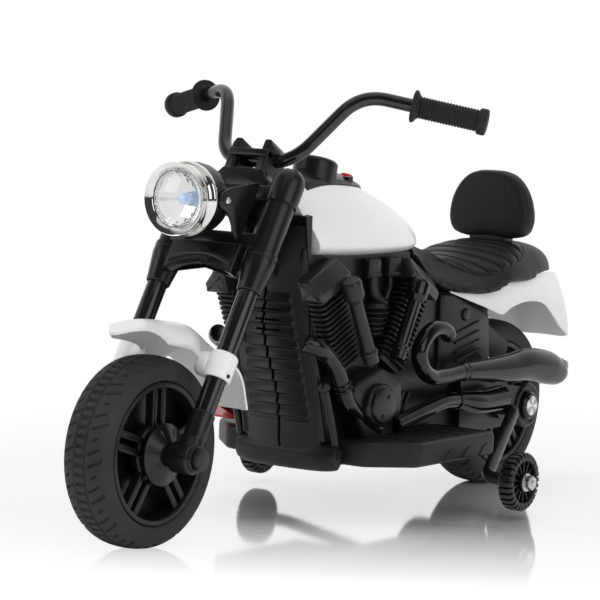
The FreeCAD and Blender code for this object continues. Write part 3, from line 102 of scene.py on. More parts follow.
def mirrored(shells):
    """The same shells on the other side of the bike."""
    return [(points * np.array([-1.0, 1.0, 1.0]), faces) for points, faces in shells]


def both(shells):
    """The shells of one side with their mirror images."""
    return list(shells) + mirrored(shells)


def eased(value, low, high):
    """Smooth step from 0 at low to 1 at high."""
    share = np.clip((value - low) / (high - low), 0.0, 1.0)
    return share * share * (3.0 - 2.0 * share)


def band(value, half, soft):
    """1 within half of zero, easing to 0 over soft."""
    return 1.0 - eased(np.abs(value), half, half + soft)


def through(points, count):
    """Even points on a cubic through the given points, spaced by the length of the chords."""
    points = np.asarray(points, float)
    steps = np.linalg.norm(np.diff(points, axis=0), axis=1)
    place = np.concatenate([[0.0], np.cumsum(steps)])
    slope = np.gradient(points, place, axis=0)
    at = np.linspace(0.0, place[-1], count)
    run = np.clip(np.searchsorted(place, at, side="right") - 1, 0, len(points) - 2)
    width = steps[run][:, None]
    t = ((at - place[run])[:, None]) / width
    start, end = points[run], points[run + 1]
    lead, trail = slope[run] * width, slope[run + 1] * width
    return ((2 * t**3 - 3 * t**2 + 1) * start + (t**3 - 2 * t**2 + t) * lead
            + (3 * t**2 - 2 * t**3) * end + (t**3 - t**2) * trail)


class Flow:
    """A node socket that can stand in a sum: each operator adds the Math node of that name."""

    def __init__(self, tree, socket=None):
        self.tree = tree
        self.socket = socket

    def node(self, kind, settings, sockets, output=0):
        """Any node: its settings first, then the values or links of its sockets."""
        made = self.tree.nodes.new(kind)
        for key, value in settings.items():
            setattr(made, key, value)
        for key, value in sockets.items():
            if isinstance(value, Flow):
                self.tree.links.new(value.socket, made.inputs[key])
            else:
                made.inputs[key].default_value = value
        return Flow(self.tree, made.outputs[output])

    def math(self, operation, first, second=0.0):
        return self.node("ShaderNodeMath", {"operation": operation}, {0: first, 1: second})

    def __add__(self, other):
        return self.math("ADD", self, other)

    __radd__ = __add__

    def __sub__(self, other):
        return self.math("SUBTRACT", self, other)

    def __rsub__(self, other):
        return self.math("SUBTRACT", other, self)

    def __mul__(self, other):
        return self.math("MULTIPLY", self, other)

    __rmul__ = __mul__

    def __pow__(self, other):
        return self.math("POWER", self, other)

    def mix(self, low, high):
        """Colour from low to high as this value goes from 0 to 1."""
        return self.node("ShaderNodeMix", {"data_type": "RGBA"}, {0: self, 6: low, 7: high}, 2)

    def clamped(self, low, high):
        """This value taken from low..high to 0..1 and held there."""
        return self.node("ShaderNodeMapRange", {"clamp": True}, {0: self, 1: low, 2: high})


def finish(name, **constants):
    """A new material: its flow for adding nodes, its shader, and the place on the object."""
    material = bpy.data.materials.new(name)
    material.use_nodes = True
    shader = material.node_tree.nodes["Principled BSDF"]
    for key, value in constants.items():
        shader.inputs[key.replace("_", " ")].default_value = value
    flow = Flow(material.node_tree)
    place = flow.node("ShaderNodeTexCoord", {}, {}, "Object")
    return material, flow, shader, place


def feed(flow, shader, colour=None, rough=None, height=None, depth=0.0002, strength=0.6):
    """Links what varies over the surface to the shader: colour, roughness and a bump of the given depth."""
    if colour is not None:
        flow.tree.links.new(colour.socket, shader.inputs["Base Color"])
    if rough is not None:
        flow.tree.links.new(rough.socket, shader.inputs["Roughness"])
    if height is not None:
        bump = flow.node("ShaderNodeBump", {}, {"Strength": strength, "Distance": depth, "Height": height})
        flow.tree.links.new(bump.socket, shader.inputs["Normal"])


def noise(flow, place, scale, detail=4.0, roughness=0.55):
    return flow.node("ShaderNodeTexNoise", {}, {"Vector": place, "Scale": scale, "Detail": detail,
                                                "Roughness": roughness}, "Fac")


def tyre_rubber():
    """Matt moulded rubber: fine skin grain, paler worn patches and dust in broad clouds."""
    material, flow, shader, place = finish("tyre_rubber", Specular_IOR_Level=0.32)
    clouds = noise(flow, place, 22.0)
    grain = noise(flow, place, 900.0, 2.0)
    dust = clouds.clamped(0.35, 0.75)
    colour = dust.mix((0.020, 0.019, 0.0185, 1.0), (0.031, 0.030, 0.029, 1.0))
    feed(flow, shader, colour, 0.56 + 0.16 * clouds, grain + 0.4 * clouds, 0.00025, 0.5)
    return material


wheel_low, wheel_high = span("front_tyre")
wheel_radius = (wheel_high[2] - wheel_low[2]) / 2
tyre_half = wheel_high[0]
bead_radius = 76.0
front_axle = np.array([0.0, (wheel_low[1] + wheel_high[1]) / 2, wheel_radius])
rear_low, rear_high = span("rear_tyre")
rear_axle = np.array([0.0, (rear_low[1] + rear_high[1]) / 2, wheel_radius])
tyre_side = [(bead_radius, 0.86), (bead_radius + 1.6, 0.95), (84.0, 1.0), (90.0, 0.985), (95.4, 0.90),
             (99.2, 0.70), (101.2, 0.42), (wheel_radius, 0.0)]
tread_line = 6.6
ladder_count = 64
slash_count = 48
slash_reach = np.array([24.0, 18.5, 21.0])
slash_start = tread_line + np.array([3.0, 6.5, 1.5])
groove_depth, slot_depth = 2.0, 2.6
crown_from, crown_to = 93.0, 97.0


def tread_cut(turn, across):
    """Depth of the tread at a turn angle and a width: two running grooves, a ladder of slots between them,
    and slashes that start beside the grooves and curve away, every third one long with a hooked end."""
    wide = np.abs(across)
    grooves = band(wide - tread_line, 0.5, 0.7)
    rung = np.abs((turn * ladder_count / (2 * np.pi)) % 1.0 - 0.5) * 2 * np.pi / ladder_count * wheel_radius
    ladder = band(rung, 1.6, 0.7) * band(wide, tread_line - 2.0, 0.8)
    outward = np.maximum(wide - tread_line, 0.0) / 10.0
    lean = turn + np.sign(across) * 0.035 * outward**1.6 + (across < 0) * np.pi / slash_count
    order = lean * slash_count / (2 * np.pi)
    step = np.floor(order).astype(int) % len(slash_reach)
    reach, start = slash_reach[step], slash_start[step]
    slit = np.abs(order % 1.0 - 0.5) * 2 * np.pi / slash_count * wheel_radius
    hook = np.where(step == 0, eased(wide, 16.0, 23.0) * 0.9, 0.0)
    slash = band(slit - hook, 0.95, 0.8) * eased(wide, start, start + 1.5)
    slash = slash * (1 - eased(wide, reach, reach + 1.2))
    return groove_depth * grooves + slot_depth * ladder + slot_depth * slash


def tyre(centre):
    """A closed ring: the side profile carried round the axle, sunk along its normal by the tread."""
    half = np.array([(r, tyre_half * share) for r, share in tyre_side])
    profile = through(np.concatenate([half, half[-2::-1] * np.array([1.0, -1.0])]), 96)
    turn = np.linspace(0.0, 2 * np.pi, 900, endpoint=False)[None, :]
    radius, across = profile[:, :1], profile[:, 1:]
    radius = radius - tread_cut(turn, across + 0.0 * turn) * eased(radius, crown_from, crown_to)
    across = across + 0.0 * turn
    points = np.stack([across, radius * np.cos(turn), radius * np.sin(turn)], -1) + centre
    return shell(points, ring=True)


rubber = tyre_rubber()
piece("front_tyre_moulded", [tyre(front_axle)], rubber, "front_wheel", ["front_tyre"], 180.0)
piece("rear_tyre_moulded", [tyre(rear_axle)], rubber, "rear_wheel", ["rear_tyre"], 180.0)

# Rims: moulded black plastic, five pairs of bars on each face between a dished hub and the bead ring.
# The front hub carries stepped cones with short slots, which turn with the wheel.
def rounded(corners, radius, steps=6, closed=True):
    """A line or outline with each corner replaced by a short curve that keeps within radius of it."""
    corners = np.asarray(corners, float)
    before, after = np.roll(corners, 1, 0) - corners, np.roll(corners, -1, 0) - corners
    lengths = [np.linalg.norm(side, axis=1, keepdims=True) for side in (before, after)]
    reach = [np.minimum(radius, 0.48 * length) for length in lengths]
    start, end = corners + before / lengths[0] * reach[0], corners + after / lengths[1] * reach[1]
    if not closed:
        start[0], end[0], start[-1], end[-1] = corners[0], corners[0], corners[-1], corners[-1]
    t = np.linspace(0.0, 1.0, steps)[None, :, None]
    curve = (1 - t) ** 2 * start[:, None] + 2 * t * (1 - t) * corners[:, None] + t**2 * end[:, None]
    if not closed:
        return np.concatenate([corners[:1], curve[1:-1].reshape(-1, corners.shape[1]), corners[-1:]])
    return curve.reshape(-1, corners.shape[1])


def oblong(low, high, radius, steps=6, closed=True):
    """A rounded rectangle between two corners, or its open half when it is turned about an axis."""
    return rounded([low, (high[0], low[1]), high, (low[0], high[1])], radius, steps, closed)


def axes_from(direction):
    """Three square axes, the last along the direction."""
    along = np.asarray(direction, float) / np.linalg.norm(direction)
    aside = np.cross(along, [1.0, 0.0, 0.0] if abs(along[0]) < 0.9 else [0.0, 0.0, 1.0])
    aside /= np.linalg.norm(aside)
    return aside, np.cross(along, aside), along


def turned(profile, centre, direction, steps=72, ring=False, sink=None):
    """A profile of (radius, height) carried round an axis; sink(turn, radius) lowers the radius there."""
    aside, across, along = axes_from(direction)
    turn = np.linspace(0.0, 2 * np.pi, steps, endpoint=False)[None, :]
    radius = np.asarray(profile, float)[:, :1] + 0.0 * turn
    height = np.asarray(profile, float)[:, 1:] + 0.0 * turn
    if sink is not None:
        radius = radius - sink(turn, radius)
    spokes = np.cos(turn)[..., None] * aside + np.sin(turn)[..., None] * across
    points = np.asarray(centre, float) + radius[..., None] * spokes + height[..., None] * along
    return shell(points, ring)


def slab(outline, low, high, edge, place):
    """A plate from low to high: an outline inset at both faces by a quarter round and closed by fans.
    place turns (first, second, height) into a point of the bike."""
    outline = np.asarray(outline, float)
    tangent = np.roll(outline, -1, 0) - np.roll(outline, 1, 0)
    normal = np.stack([tangent[:, 1], -tangent[:, 0]], -1)
    normal /= np.maximum(np.linalg.norm(normal, axis=1, keepdims=True), 1e-9)
    area = np.sum(outline[:, 0] * np.roll(outline[:, 1], -1) - outline[:, 1] * np.roll(outline[:, 0], -1))
    normal *= np.sign(area)
    arc = np.linspace(0.0, np.pi / 2, 4)
    inset = np.concatenate([edge * (1 - np.sin(arc)), edge * (1 - np.cos(arc))])
    rise = np.concatenate([low + edge * (1 - np.cos(arc)), high - edge * (1 - np.sin(arc))])
    rows = outline[None] - normal[None] * inset[:, None, None]
    middle = np.broadcast_to(outline.mean(0), outline.shape)[None]
    rows = np.concatenate([middle, rows, middle])
    rise = np.concatenate([[low], rise, [high]])
    height = np.broadcast_to(rise[:, None], rows.shape[:2])
    return shell(place(rows[..., 0], rows[..., 1], height))


def black_plastic(name, base=0.0085, rough=0.42, grain=900.0, depth=0.00012, gloss=0.3):
    """Moulded black plastic: spark-grained skin, slight sheen changes and a trace of warm dust."""
    material, flow, shader, place = finish(name, Specular_IOR_Level=gloss * 1.35)
    clouds = noise(flow, place, 14.0)
    pits = noise(flow, place, grain, 3.0, 0.6)
    colour = clouds.clamped(0.3, 0.8).mix((base * 0.55, base * 0.545, base * 0.545, 1.0),
                                          (base * 1.0, base * 0.95, base * 0.93, 1.0))
    feed(flow, shader, colour, rough - 0.15 + 0.16 * clouds, pits + 0.5 * clouds, depth, 0.35)
    return material


rim_black = black_plastic("rim_black", 0.0075, 0.40)
rim_half = 26.0
rim_inner = 70.0
hub_disc = 32.0
spoke_count = 5
bar_spacing = 14.0
bar_half = 3.4
bar_depth = 11.0
bead_seat = 75.8
hub_core, hub_lip, hub_eye = 16.0, 1.4, 15.0
web_half = 1.5
front_bore, rear_bore = 5.05, 6.05
cone_base, cone_tip = 33.0, 10.5
cone_foot, cone_end = 27.6, 45.6
slot_count, cone_slot_depth, cone_slot_middle = 8, 1.6, 24.0


def rim(centre, bore, webbed):
    """Bead ring, two dished hub discs and ten rounded bars on each face; a web closes the middle if asked."""
    lip = rounded([(rim_inner, -rim_half), (bead_seat, -rim_half), (bead_seat, rim_half),
                   (rim_inner, rim_half), (rim_inner - 2.0, 12.0), (rim_inner - 2.0, -12.0)], 2.0)
    core = oblong((bore, -rim_half - hub_lip), (hub_core, rim_half + hub_lip), 1.0)
    shells = [turned(lip, centre, (1, 0, 0), 96, True), turned(core, centre, (1, 0, 0), 64, True)]
    if webbed:
        web = oblong((hub_eye, -web_half), (rim_inner, web_half), 0.5)
        shells.append(turned(web, centre, (1, 0, 0), 96, True))
    for side in (-1, 1):
        face = side * (rim_half - 3.0)
        dish = rounded([(hub_eye, face - side * bar_depth), (hub_disc, face - side * bar_depth),
                        (hub_disc, face - side * 3.0), (hub_disc - 5.0, face), (22.0, face - side * 2.0),
                        (hub_eye, face - side * 2.0)], 1.5)
        shells.append(turned(dish, centre, (1, 0, 0), 80, True))
        low, high = sorted((face, face - side * bar_depth))
        for i in range(spoke_count):
            swing = 2 * np.pi * i / spoke_count
            for shift in (-bar_spacing / 2, bar_spacing / 2):
                bar = rounded([(shift - bar_half, 24.0), (shift + bar_half, 24.0),
                               (shift + bar_half * 1.2, 72.0), (shift - bar_half * 1.2, 72.0)], 1.0, 3)

                def place(across, out, height, swing=swing):
                    y = -across * np.cos(swing) - out * np.sin(swing)
                    z = -across * np.sin(swing) + out * np.cos(swing)
                    return np.stack([height, y, z], -1) + centre

                shells.append(slab(bar, low, high, 1.2, place))
    return shells


def cone_slots(turn, radius):
    """Short slots sunk in the slope of the cone."""
    strip = np.abs((turn * slot_count / (2 * np.pi)) % 1.0 - 0.5) * 2 * np.pi / slot_count * radius
    return cone_slot_depth * band(strip, 0.7, 0.7) * band(radius - cone_slot_middle, 4.6, 1.2)


piece("front_rim_moulded", rim(front_axle, front_bore, True), rim_black, "front_wheel",
      ["front_rim"])
piece("rear_rim_moulded", rim(rear_axle, rear_bore, False), rim_black, "rear_wheel",
      ["rear_rim"])
slope = [(cone_base - (cone_base - cone_tip - 2.5) * t, 31.0 + 9.5 * t) for t in np.linspace(0.0, 1.0, 14)]
cone = [(front_bore, cone_foot), (cone_base - 1.0, cone_foot), (cone_base, cone_foot + 1.0),
        (cone_base, cone_foot + 3.0), *slope, (cone_tip, 41.5), (cone_tip, cone_end - 0.8),
        (cone_tip - 0.8, cone_end), (front_bore, cone_end)]
piece("hub_cones", [turned(cone, front_axle, (s, 0, 0), 192, True, cone_slots) for s in (-1, 1)],
      black_plastic("hub_cone_black", 0.011, 0.26), "front_wheel", ["front_hub_cones"])

# Fork: two raked legs. Each has a foot with the axle boss, a painted steel tube, and a plastic cover that
# flares below the lower yoke and is domed above the upper one. Two yokes clamp the covers.
rake = math.radians(30.0)
leg_x, stem_back = 61.0, 40.0
tube_radius, tube_foot, tube_top = 11.0, 24.0, 265.0
boss_half, boss_radius, boss_step, cap_radius = 15.0, 16.8, 14.5, 11.8
yoke_half, yoke_nose, yoke_shoulder, yoke_tail_radius, yoke_edge = 63.0, -15.0, 13.0, 16.5, 2.5
lower_yoke_low, lower_yoke_high = 239.0, 257.0
upper_yoke_low, upper_yoke_high = 297.0, 315.0
cowl_half, cowl_foot, cowl_crown, cowl_face = 45.0, 203.0, 216.0, -21.5
leg_axis = np.array([0.0, math.sin(rake), math.cos(rake)])


def raked(across, backward, height):
    """A point beside the front axle, tipped back by the rake: height runs up the leg."""
    y = front_axle[1] + backward * math.cos(rake) + height * math.sin(rake)
    z = front_axle[2] - backward * math.sin(rake) + height * math.cos(rake)
    return np.stack(np.broadcast_arrays(across, y, z), -1)


def on_leg(profile, ring=False):
    """A profile turned about the axis of the left leg, its heights measured up from the axle."""
    return turned(profile, raked(leg_x, 0.0, 0.0), leg_axis, 64, ring)


tube_black = black_plastic("painted_tube", 0.008, 0.24, 1500.0, 0.00004, 0.5)
fork_black = black_plastic("fork_black", 0.009, 0.36)
boss_in, boss_out = leg_x - boss_half, leg_x + boss_half
foot_boss = rounded([(0.0, boss_in), (boss_radius, boss_in), (boss_radius, boss_out - 6.0),
                     (boss_step, boss_out - 4.5), (boss_step, boss_out), (0.0, boss_out)], 1.4, 5, False)
foot_sleeve = rounded([(0.0, 6.0), (15.0, 8.0), (12.0, 22.0), (13.0, 28.0), (13.0, 52.0), (0.0, 52.0)], 2.4,
                      6, False)
piece("fork_feet_moulded", both([turned(foot_boss, front_axle, (1, 0, 0)), on_leg(foot_sleeve)]), fork_black,
      "steering", ["fork_feet"])
tube = oblong((0.0, tube_foot), (tube_radius, tube_top), 0.6, 3, False)
piece("fork_tubes_drawn", both([on_leg(tube)]), tube_black, "steering", ["fork_tubes"])
cover = [(tube_radius, 195.0), (12.4, 193.2), (13.4, 194.5), (14.2, 202.0), (16.2, 216.0), (17.6, 226.0),
         (17.6, 230.4), (16.7, 231.2), (16.7, 232.4), (17.6, 233.2), (17.6, 238.6), (16.0, 239.6),
         (16.0, 295.0), (15.2, 296.0), (15.2, 297.4), (17.4, 298.6), (17.8, 301.0), (17.8, 324.0),
         (17.0, 330.0), (14.6, 335.0), (11.0, 338.4), (7.0, 339.7), (0.0, 340.0)]
piece("fork_covers_moulded", both([on_leg(cover)]), fork_black, "steering", ["fork_covers"],
      28.0)
yoke_front = rounded([(-yoke_half, yoke_shoulder), (-yoke_half, yoke_nose), (yoke_half, yoke_nose),
                      (yoke_half, yoke_shoulder)], 9.0, 9, False)
tail_turns = np.radians(np.linspace(40.0, 140.0, 21))
yoke_tail = [(yoke_tail_radius * math.cos(a), stem_back + yoke_tail_radius * math.sin(a)) for a in tail_turns]
yoke_plan = np.concatenate([yoke_front, yoke_tail])


def yoke(low, high):
    """A flat plate across both legs, its tail round the stem so that it can turn."""
    return slab(yoke_plan, low, high, yoke_edge, raked)


def frames(path):
    """Square axes along a path, carried forward without twist."""
    step = np.gradient(path, axis=0)
    along = step / np.linalg.norm(step, axis=1, keepdims=True)
    aside = axes_from(along[0])[0]
    sides = []
    for direction in along:
        aside = aside - direction * (aside @ direction)
        aside = aside / np.linalg.norm(aside)
        sides.append(aside)
    sides = np.array(sides)
    return sides, np.cross(along, sides), along


def drawn(path, wide, tall=None, steps=28):
    """A tube: an oval of the given half sizes carried along a path, closed at each end by a small lip."""
    path = np.asarray(path, float)
    wide = np.broadcast_to(np.asarray(wide, float), len(path))
    tall = wide if tall is None else np.broadcast_to(np.asarray(tall, float), len(path))
    aside, across, along = frames(path)
    turn = np.linspace(0.0, 2 * np.pi, steps, endpoint=False)[None, :, None]
    rows = (path[:, None] + wide[:, None, None] * np.cos(turn) * aside[:, None]
            + tall[:, None, None] * np.sin(turn) * across[:, None])
    ends = [np.repeat(path[i][None], steps, 0)[None] for i in (0, -1)]
    lip = [path[i] + (rows[i] - path[i]) * 0.86 + along[i] * s * 0.12 * wide[i]
           for i, s in ((0, -1), (-1, 1))]
    ends = [ends[0] - along[0] * 0.16 * wide[0], ends[1] + along[-1] * 0.16 * wide[-1]]
    return shell(np.concatenate([ends[0], lip[0][None], rows, lip[1][None], ends[1]]))


def across_fork(first, second, height):
    """A plate hung across the fork: outline in (across, up the leg), thickness backward."""
    return raked(first, height, second)


cowl_across = np.linspace(-cowl_half + 4.0, cowl_half - 4.0, 17)
cowl_drop = (cowl_crown - cowl_foot) * (cowl_across / cowl_half) ** 2
cowl_arch = np.stack([cowl_across, cowl_crown - cowl_drop], -1)
cowl_plan = np.concatenate([[(-cowl_half, cowl_foot + 2.0)], cowl_arch, [(cowl_half, cowl_foot + 2.0)],
                            rounded([(cowl_half, lower_yoke_low + 1.0), (-cowl_half, lower_yoke_low + 1.0)],
                                    1.0, 3, False)])
ridge_arch = cowl_arch + np.array([0.0, 9.0])
cowl_ridge = drawn([raked(x, cowl_face, z) for x, z in ridge_arch], 2.4)
piece("lower_yoke_moulded", [yoke(lower_yoke_low, lower_yoke_high),
                             slab(cowl_plan, cowl_face, -8.0, 2.2, across_fork), cowl_ridge], fork_black,
      "steering", ["lower_yoke"])
piece("upper_yoke_moulded", [yoke(upper_yoke_low, upper_yoke_high)], fork_black, "steering",
      ["upper_yoke"])
axle_cap = rounded([(0.0, boss_out), (cap_radius, boss_out), (cap_radius, boss_out + 6.0),
                    (0.0, boss_out + 7.0)], 1.5, 5, False)
piece("axle_caps", both([turned(axle_cap, front_axle, (1, 0, 0))]), fork_black, "steering",
      ["front_axle_caps"])

# Handlebar: one bent and painted steel tube through a clamp block on the upper yoke, with ribbed rubber
# grips pushed over both ends up to a bell flange.
bar_low = (46.0, 11.0, 356.0)
bar_top = (90.0, 28.0, 455.0)
bar_end = (211.0, 93.0, 464.0)
bar_radius = 7.5
bar_bend = 30.0
half_bar = np.array([raked(*p) for p in (bar_low, bar_top, bar_end)])
whole_bar = np.concatenate([half_bar[::-1] * np.array([-1.0, 1.0, 1.0]), half_bar])
bar_path = rounded(whole_bar, bar_bend, 12, False)
piece("handlebar_bent", [drawn(bar_path, bar_radius)], tube_black, "steering", ["handlebar"])

clamp_half, post_half, clamp_window = 35.0, 26.0, 15.0
clamp_front, clamp_rear = -8.0, 28.0
base_low, base_high, clamp_high = upper_yoke_high, 333.0, 374.0
cross_low, cross_high = 352.0, 361.0
clamp_base = rounded([(-clamp_half, base_low), (clamp_half, base_low), (clamp_half, base_high - 6.0),
                      (clamp_half - 8.0, base_high + 5.0), (8.0 - clamp_half, base_high + 5.0),
                      (-clamp_half, base_high - 6.0)], 2.0, 4)
clamp_post = rounded([(clamp_window, base_high), (post_half, base_high), (post_half, clamp_high - 6.0),
                      (post_half - 3.0, clamp_high), (clamp_window + 1.0, clamp_high),
                      (clamp_window, clamp_high - 2.0)], 1.5, 4)
clamp_bar = oblong((-post_half, cross_low), (post_half, cross_high), 1.5, 4)
piece("clamp_block", [slab(clamp_base, clamp_front, clamp_rear, 1.6, across_fork),
                      slab(clamp_bar, clamp_front - 2.0, clamp_front + 9.0, 1.2, across_fork),
                      *both([slab(clamp_post, clamp_front, clamp_rear, 1.4, across_fork)])], fork_black,
      "steering", ["handlebar_clamp"])


def grip_rubber():
    """Soft matt rubber with a fine pebble and a little shine on the worn crests."""
    material, flow, shader, place = finish("grip_rubber", Specular_IOR_Level=0.3)
    clouds = noise(flow, place, 60.0)
    pebble = flow.node("ShaderNodeTexVoronoi", {}, {"Vector": place, "Scale": 1400.0}, "Distance")
    colour = clouds.clamped(0.35, 0.7).mix((0.010, 0.0098, 0.0096, 1.0), (0.017, 0.0165, 0.016, 1.0))
    feed(flow, shader, colour, 0.52 + 0.18 * clouds, pebble, 0.0002, 0.4)
    return material


grip_length, grip_radius, rib_count, rib_depth = 80.0, 12.2, 19, 0.9
rib_from, rib_to = -grip_length + 9.0, -8.0
rib_height = np.linspace(rib_from, rib_to, rib_count * 8 + 1)
rib_wave = 0.5 - 0.5 * np.cos(2 * np.pi * (rib_height - rib_from) / (rib_to - rib_from) * rib_count)
ribs = np.stack([grip_radius - rib_depth * (1 - rib_wave) ** 1.5, rib_height], -1)
grip = np.concatenate([[(bar_radius, -grip_length), (16.6, -grip_length), (17.8, -grip_length + 0.8),
                        (18.0, -grip_length + 2.4), (17.2, -grip_length + 4.0), (13.4, -grip_length + 6.4),
                        (grip_radius, -grip_length + 8.2)], ribs,
                       [(grip_radius, -7.0), (14.2, -5.6), (14.6, -4.4), (14.6, 1.6), (13.6, 3.2),
                        (10.0, 4.0), (0.0, 4.0)]])
bar_run = half_bar[2] - half_bar[1]
piece("grips_ribbed", both([turned(grip, half_bar[2], bar_run, 64)]), grip_rubber(), "steering",
      ["grips"], 60.0)

# Headlight: a chromed bezel with a flared lip, a clear domed lens with a ridged edge, a polished reflector
# and a bluish bulb, closed behind by a black bowl that two bracket plates hold to the yokes.
lamp_low, lamp_high = span("headlight_bezel")
lamp_front = np.array([0.0, lamp_low[1], (lamp_low[2] + lamp_high[2]) / 2])
lamp_axis = (0.0, 1.0, 0.0)


def chrome_plate():
    """Bright plating over plastic: nearly clean, with faint waves and handling haze."""
    material, flow, shader, place = finish("chrome_plate", Metallic=1.0)
    haze = noise(flow, place, 30.0)
    ripple = noise(flow, place, 45.0, 1.0)
    colour = haze.clamped(0.3, 0.8).mix((0.84, 0.83, 0.81, 1.0), (0.70, 0.68, 0.66, 1.0))
    feed(flow, shader, colour, 0.035 + 0.05 * haze, ripple, 0.0006, 0.25)
    return material


def clear_lens():
    """Clear polycarbonate with a trace of moulding ripple."""
    material, flow, shader, place = finish("clear_lens", Transmission_Weight=1.0, IOR=1.35, Roughness=0.02,
                                           Base_Color=(0.98, 0.985, 0.99, 1.0))
    feed(flow, shader, None, None, noise(flow, place, 70.0, 1.0), 0.0004, 0.2)
    return material


def bulb_glow():
    """Bluish diode resin with paler spots here and there, and a faint bluish glow of its own."""
    material, flow, shader, place = finish("bulb_resin", Roughness=0.2, Emission_Strength=0.35,
                                           Emission_Color=(0.55, 0.72, 1.0, 1.0))
    spots = noise(flow, place, 160.0)
    feed(flow, shader, spots.clamped(0.3, 0.7).mix((0.30, 0.46, 0.78, 1.0), (0.72, 0.82, 0.95, 1.0)))
    return material


chrome = chrome_plate()
bezel = [(30.6, 7.4), (31.4, 5.6), (34.4, 2.6), (37.8, 0.4), (38.7, 0.0), (39.0, 0.6), (38.9, 2.0),
         (37.4, 5.0), (35.9, 9.0), (35.4, 13.0), (35.8, 16.6), (37.6, 18.8), (39.4, 20.0), (40.0, 21.4),
         (40.0, 25.0), (39.4, 26.0), (35.2, 26.0), (35.2, 8.8), (30.6, 8.6)]
piece("headlight_ring", [turned(bezel, lamp_front, lamp_axis, 128, True)], chrome, "steering",
      ["headlight_bezel"], 50.0)
lens_radius, lens_crown, lens_seat, lens_wall = 30.4, -1.6, 7.0, 1.8
lens_r = np.linspace(0.0, lens_radius, 24)
lens_outer = lens_crown + (lens_seat - lens_crown - 1.0) * (lens_r / lens_radius) ** 2.4
lens = np.concatenate([np.stack([lens_r, lens_outer], -1),
                       np.stack([lens_r, lens_outer + lens_wall], -1)[::-1]])


def lens_ridges(turn, radius):
    """Fine waves round the outer wall of the ridged ring."""
    return 0.45 * (0.5 - 0.5 * np.cos(72 * turn)) * (radius > 26.0)


ridge_ring = rounded([(25.2, 7.2), (28.2, 6.6), (28.2, 9.4), (25.2, 9.4)], 0.5, 3)
piece("headlight_glass", [turned(lens, lamp_front, lamp_axis, 96),
                          turned(ridge_ring, lamp_front, lamp_axis, 432, True, lens_ridges)], clear_lens(),
      "steering", ["headlight_lens"], 60.0)
bowl_eye, bowl_flare, bowl_front, bowl_deep, bowl_wall = 8.0, 26.0, 10.0, 15.0, 1.0
bowl_share = np.linspace(0.0, 1.0, 20)
bowl_r = bowl_eye + bowl_flare * np.sqrt(1.0 - bowl_share)
bowl_inside = np.stack([bowl_r, bowl_front + bowl_deep * bowl_share], -1)
bowl_outside = np.stack([bowl_r, bowl_front + bowl_wall + bowl_deep * bowl_share], -1)
bowl = np.concatenate([bowl_inside, [(6.8, 25.4), (6.8, 26.0)], bowl_outside[::-1]])


def bowl_facets(turn, radius):
    """Eighteen shallow flutes between the bulb and the lip."""
    return 0.5 * np.abs(np.sin(9 * turn)) * eased(radius, 10.0, 16.0) * (1 - eased(radius, 31.0, 33.5))


piece("headlight_bowl", [turned(bowl, lamp_front, lamp_axis, 216, True, bowl_facets)], chrome, "steering",
      ["headlight_reflector"], 50.0)
bulb = [(0.0, 13.0), (2.4, 13.3), (4.4, 14.4), (5.8, 16.4), (6.3, 19.0), (6.6, 25.8), (0.0, 25.8)]
piece("headlight_diode", [turned(bulb, lamp_front, lamp_axis, 48)], bulb_glow(), "steering",
      ["headlight_bulb"])
lamp_black = black_plastic("lamp_black", 0.0085, 0.30)
bucket = [(0.0, 26.2), (37.2, 26.2), (38.0, 27.0), (38.0, 40.0), (37.3, 46.0), (34.6, 52.5), (29.5, 58.0),
          (22.0, 62.0), (12.0, 63.8), (0.0, 64.0)]
piece("headlight_bowl_back", [turned(bucket, lamp_front, lamp_axis, 96)], lamp_black, "steering",
      ["headlight_bucket"])
screw_back, bracket_back, bracket_in, bracket_out = 40.0, -21.0, 38.1, 42.0
screw_centre = np.array([0.0, lamp_front[1] + screw_back, lamp_front[2]])
bracket_root = [raked(0.0, bracket_back, height)[1:] for height in (lower_yoke_low, upper_yoke_high)]
bracket_corners = ((4.0, 13.6), (-13.0, 7.0), (-13.0, -7.0), (4.0, -13.6))
bracket_eye = [screw_centre[1:] + corner for corner in bracket_corners]
bracket_plan = rounded([*bracket_root, *bracket_eye], 9.0, 6)


def upright_plate(first, second, height):
    """A plate standing fore and aft: outline in (rearward, up), thickness to the left."""
    return np.stack(np.broadcast_arrays(height, first, second), -1)


piece("headlight_plates", both([slab(bracket_plan, bracket_in, bracket_out, 1.0, upright_plate)]),
      lamp_black, "steering", ["headlight_brackets"])


def zinc_steel():
    """Bright zinc on steel: brushed streaks, small dull patches."""
    material, flow, shader, place = finish("zinc_steel", Metallic=1.0)
    patches = noise(flow, place, 220.0)
    streaks = noise(flow, place, 1800.0, 2.0)
    colour = patches.clamped(0.3, 0.75).mix((0.72, 0.73, 0.75, 1.0), (0.52, 0.53, 0.55, 1.0))
    feed(flow, shader, colour, 0.18 + 0.18 * patches, streaks, 0.00005, 0.3)
    return material


def screw_head(centre, radius, dome, slot_half):
    """A domed head on a grid of radius and turn, sunk along a cross."""
    share = np.linspace(0.0, 1.0, 14)[:, None]
    turn = np.linspace(0.0, 2 * np.pi, 72, endpoint=False)[None, :]
    y, z = radius * share * np.cos(turn), radius * share * np.sin(turn)
    cross = np.maximum(band(y, slot_half, 0.25), band(z, slot_half, 0.25)) * (1 - eased(share, 0.55, 0.68))
    rise = dome * np.sqrt(np.maximum(1.0 - (share * 0.98) ** 2, 0.0)) - 0.9 * cross
    top = np.stack(np.broadcast_arrays(rise, y, z), -1)
    foot = np.stack([np.zeros_like(y[-1:]) - 0.2, y[-1:], z[-1:]], -1)
    middle = np.broadcast_to([-0.2, 0.0, 0.0], foot.shape)
    return shell(np.concatenate([top, foot, middle]) + centre)


